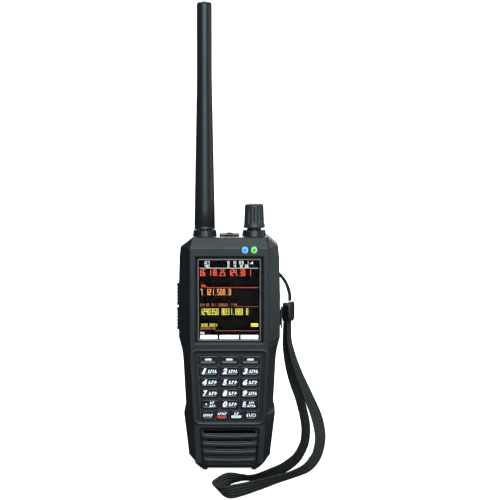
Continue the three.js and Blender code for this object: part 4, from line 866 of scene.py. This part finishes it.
# Grip ribs moulded on the battery cover above its lock, and on the thumb end of the clip.
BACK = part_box("rear_shell")[1].y
CLIP_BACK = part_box("belt_clip")[1].y
for part, body, face, half, foot, count, pitch in (
        ("battery_cover", "battery_door", BACK, 11, 17, 6, 2.6),
        ("belt_clip", "clip", CLIP_BACK, 6.5, 120.5, 5, 1.9)):
    for rib in range(count):
        z = foot + rib * pitch
        piece(f"{part}_rib_{rib + 1}", *skin([
            at_depth([(px * MM, pz * MM) for px, pz in
                      rounded(half - inset, half - inset, z + inset, z + 1.1 - inset, 0.45)],
                     face + rise * MM)
            for inset, rise in ((0, -0.3), (0, 0.1), (0.12, 0.22), (0.3, 0.26))]),
              body, case_look, "case_plastic")

# ---- Floor and light -------------------------------------------------------------------------
# A round pale floor curves up at its edge and glows, so shadows stay faint, and is left out of
# reflections and bounced light. One soft light stands in front, one at the right and one behind,
# two hang above, and the surround is plain and dim.
FLOOR_GLOW = 0.8
floor_look = moulded("pale_floor", (0.86, 0.86, 0.86), 0.8, tone=0.0, depth=0.0)
floor_surface = floor_look.node_tree.nodes["Principled BSDF"]
floor_surface.inputs["Specular IOR Level"].default_value = 0
floor_surface.inputs["Emission Color"].default_value = (1, 1, 1, 1)
floor_surface.inputs["Emission Strength"].default_value = FLOOR_GLOW
floor_profile = [(0.4, 0), (1.2, 0), (1.6, 0.06), (1.9, 0.25), (2.05, 0.6), (2.1, 2.5)]
FLOOR_STEPS = 64
floor_points = [(radius * math.cos(2 * math.pi * i / FLOOR_STEPS),
                 radius * math.sin(2 * math.pi * i / FLOOR_STEPS), z)
                for radius, z in floor_profile for i in range(FLOOR_STEPS)]
floor_faces = [tuple(range(FLOOR_STEPS))]
for ring in range(len(floor_profile) - 1):
    for i in range(FLOOR_STEPS):
        low, after = ring * FLOOR_STEPS, (i + 1) % FLOOR_STEPS
        floor_faces.append((low + i, low + FLOOR_STEPS + i, low + FLOOR_STEPS + after, low + after))
floor_mesh = bpy.data.meshes.new("floor")
floor_mesh.from_pydata(floor_points, [], floor_faces)
floor_mesh.polygons.foreach_set("use_smooth", [True] * len(floor_faces))
floor_mesh.materials.append(floor_look)
floor = bpy.data.objects.new("floor", floor_mesh)
floor.visible_glossy = False
floor.visible_diffuse = False
bpy.context.scene.collection.objects.link(floor)

world = bpy.data.worlds.new("surround")
world.use_nodes = True
world.node_tree.nodes["Background"].inputs["Color"].default_value = (0.9, 0.95, 1, 1)
world.node_tree.nodes["Background"].inputs["Strength"].default_value = 0.09
bpy.context.scene.world = world


def soft_light(name, place, aim, width, height, power):
    """A soft panel of light, in metres and watts."""
    light = bpy.data.lights.new(name, "AREA")
    light.shape = "RECTANGLE"
    light.size, light.size_y, light.energy = width, height, power
    made = bpy.data.objects.new(name, light)
    made.location = place
    made.rotation_euler = (Vector(aim) - Vector(place)).to_track_quat("-Z", "Y").to_euler()
    bpy.context.scene.collection.objects.link(made)


soft_light("key_light", (0.12, -1.15, 0.6), (0, 0, 0.12), 0.8, 0.8, 18)
soft_light("right_light", (1.0, 0.05, 0.3), (0, 0, 0.1), 0.5, 0.7, 2.4)
soft_light("top_light", (0, 0.4, 1.5), (0, 0.3, 0), 1.8, 0.8, 6)
soft_light("rear_light", (-0.2, 1.1, 0.5), (0, 0, 0.1), 0.9, 0.8, 13)
soft_light("backdrop_light", (0, 0.9, 1.6), (0, 1.2, 0.2), 2.4, 0.8, 30)
bpy.context.scene.view_settings.view_transform = "Standard"
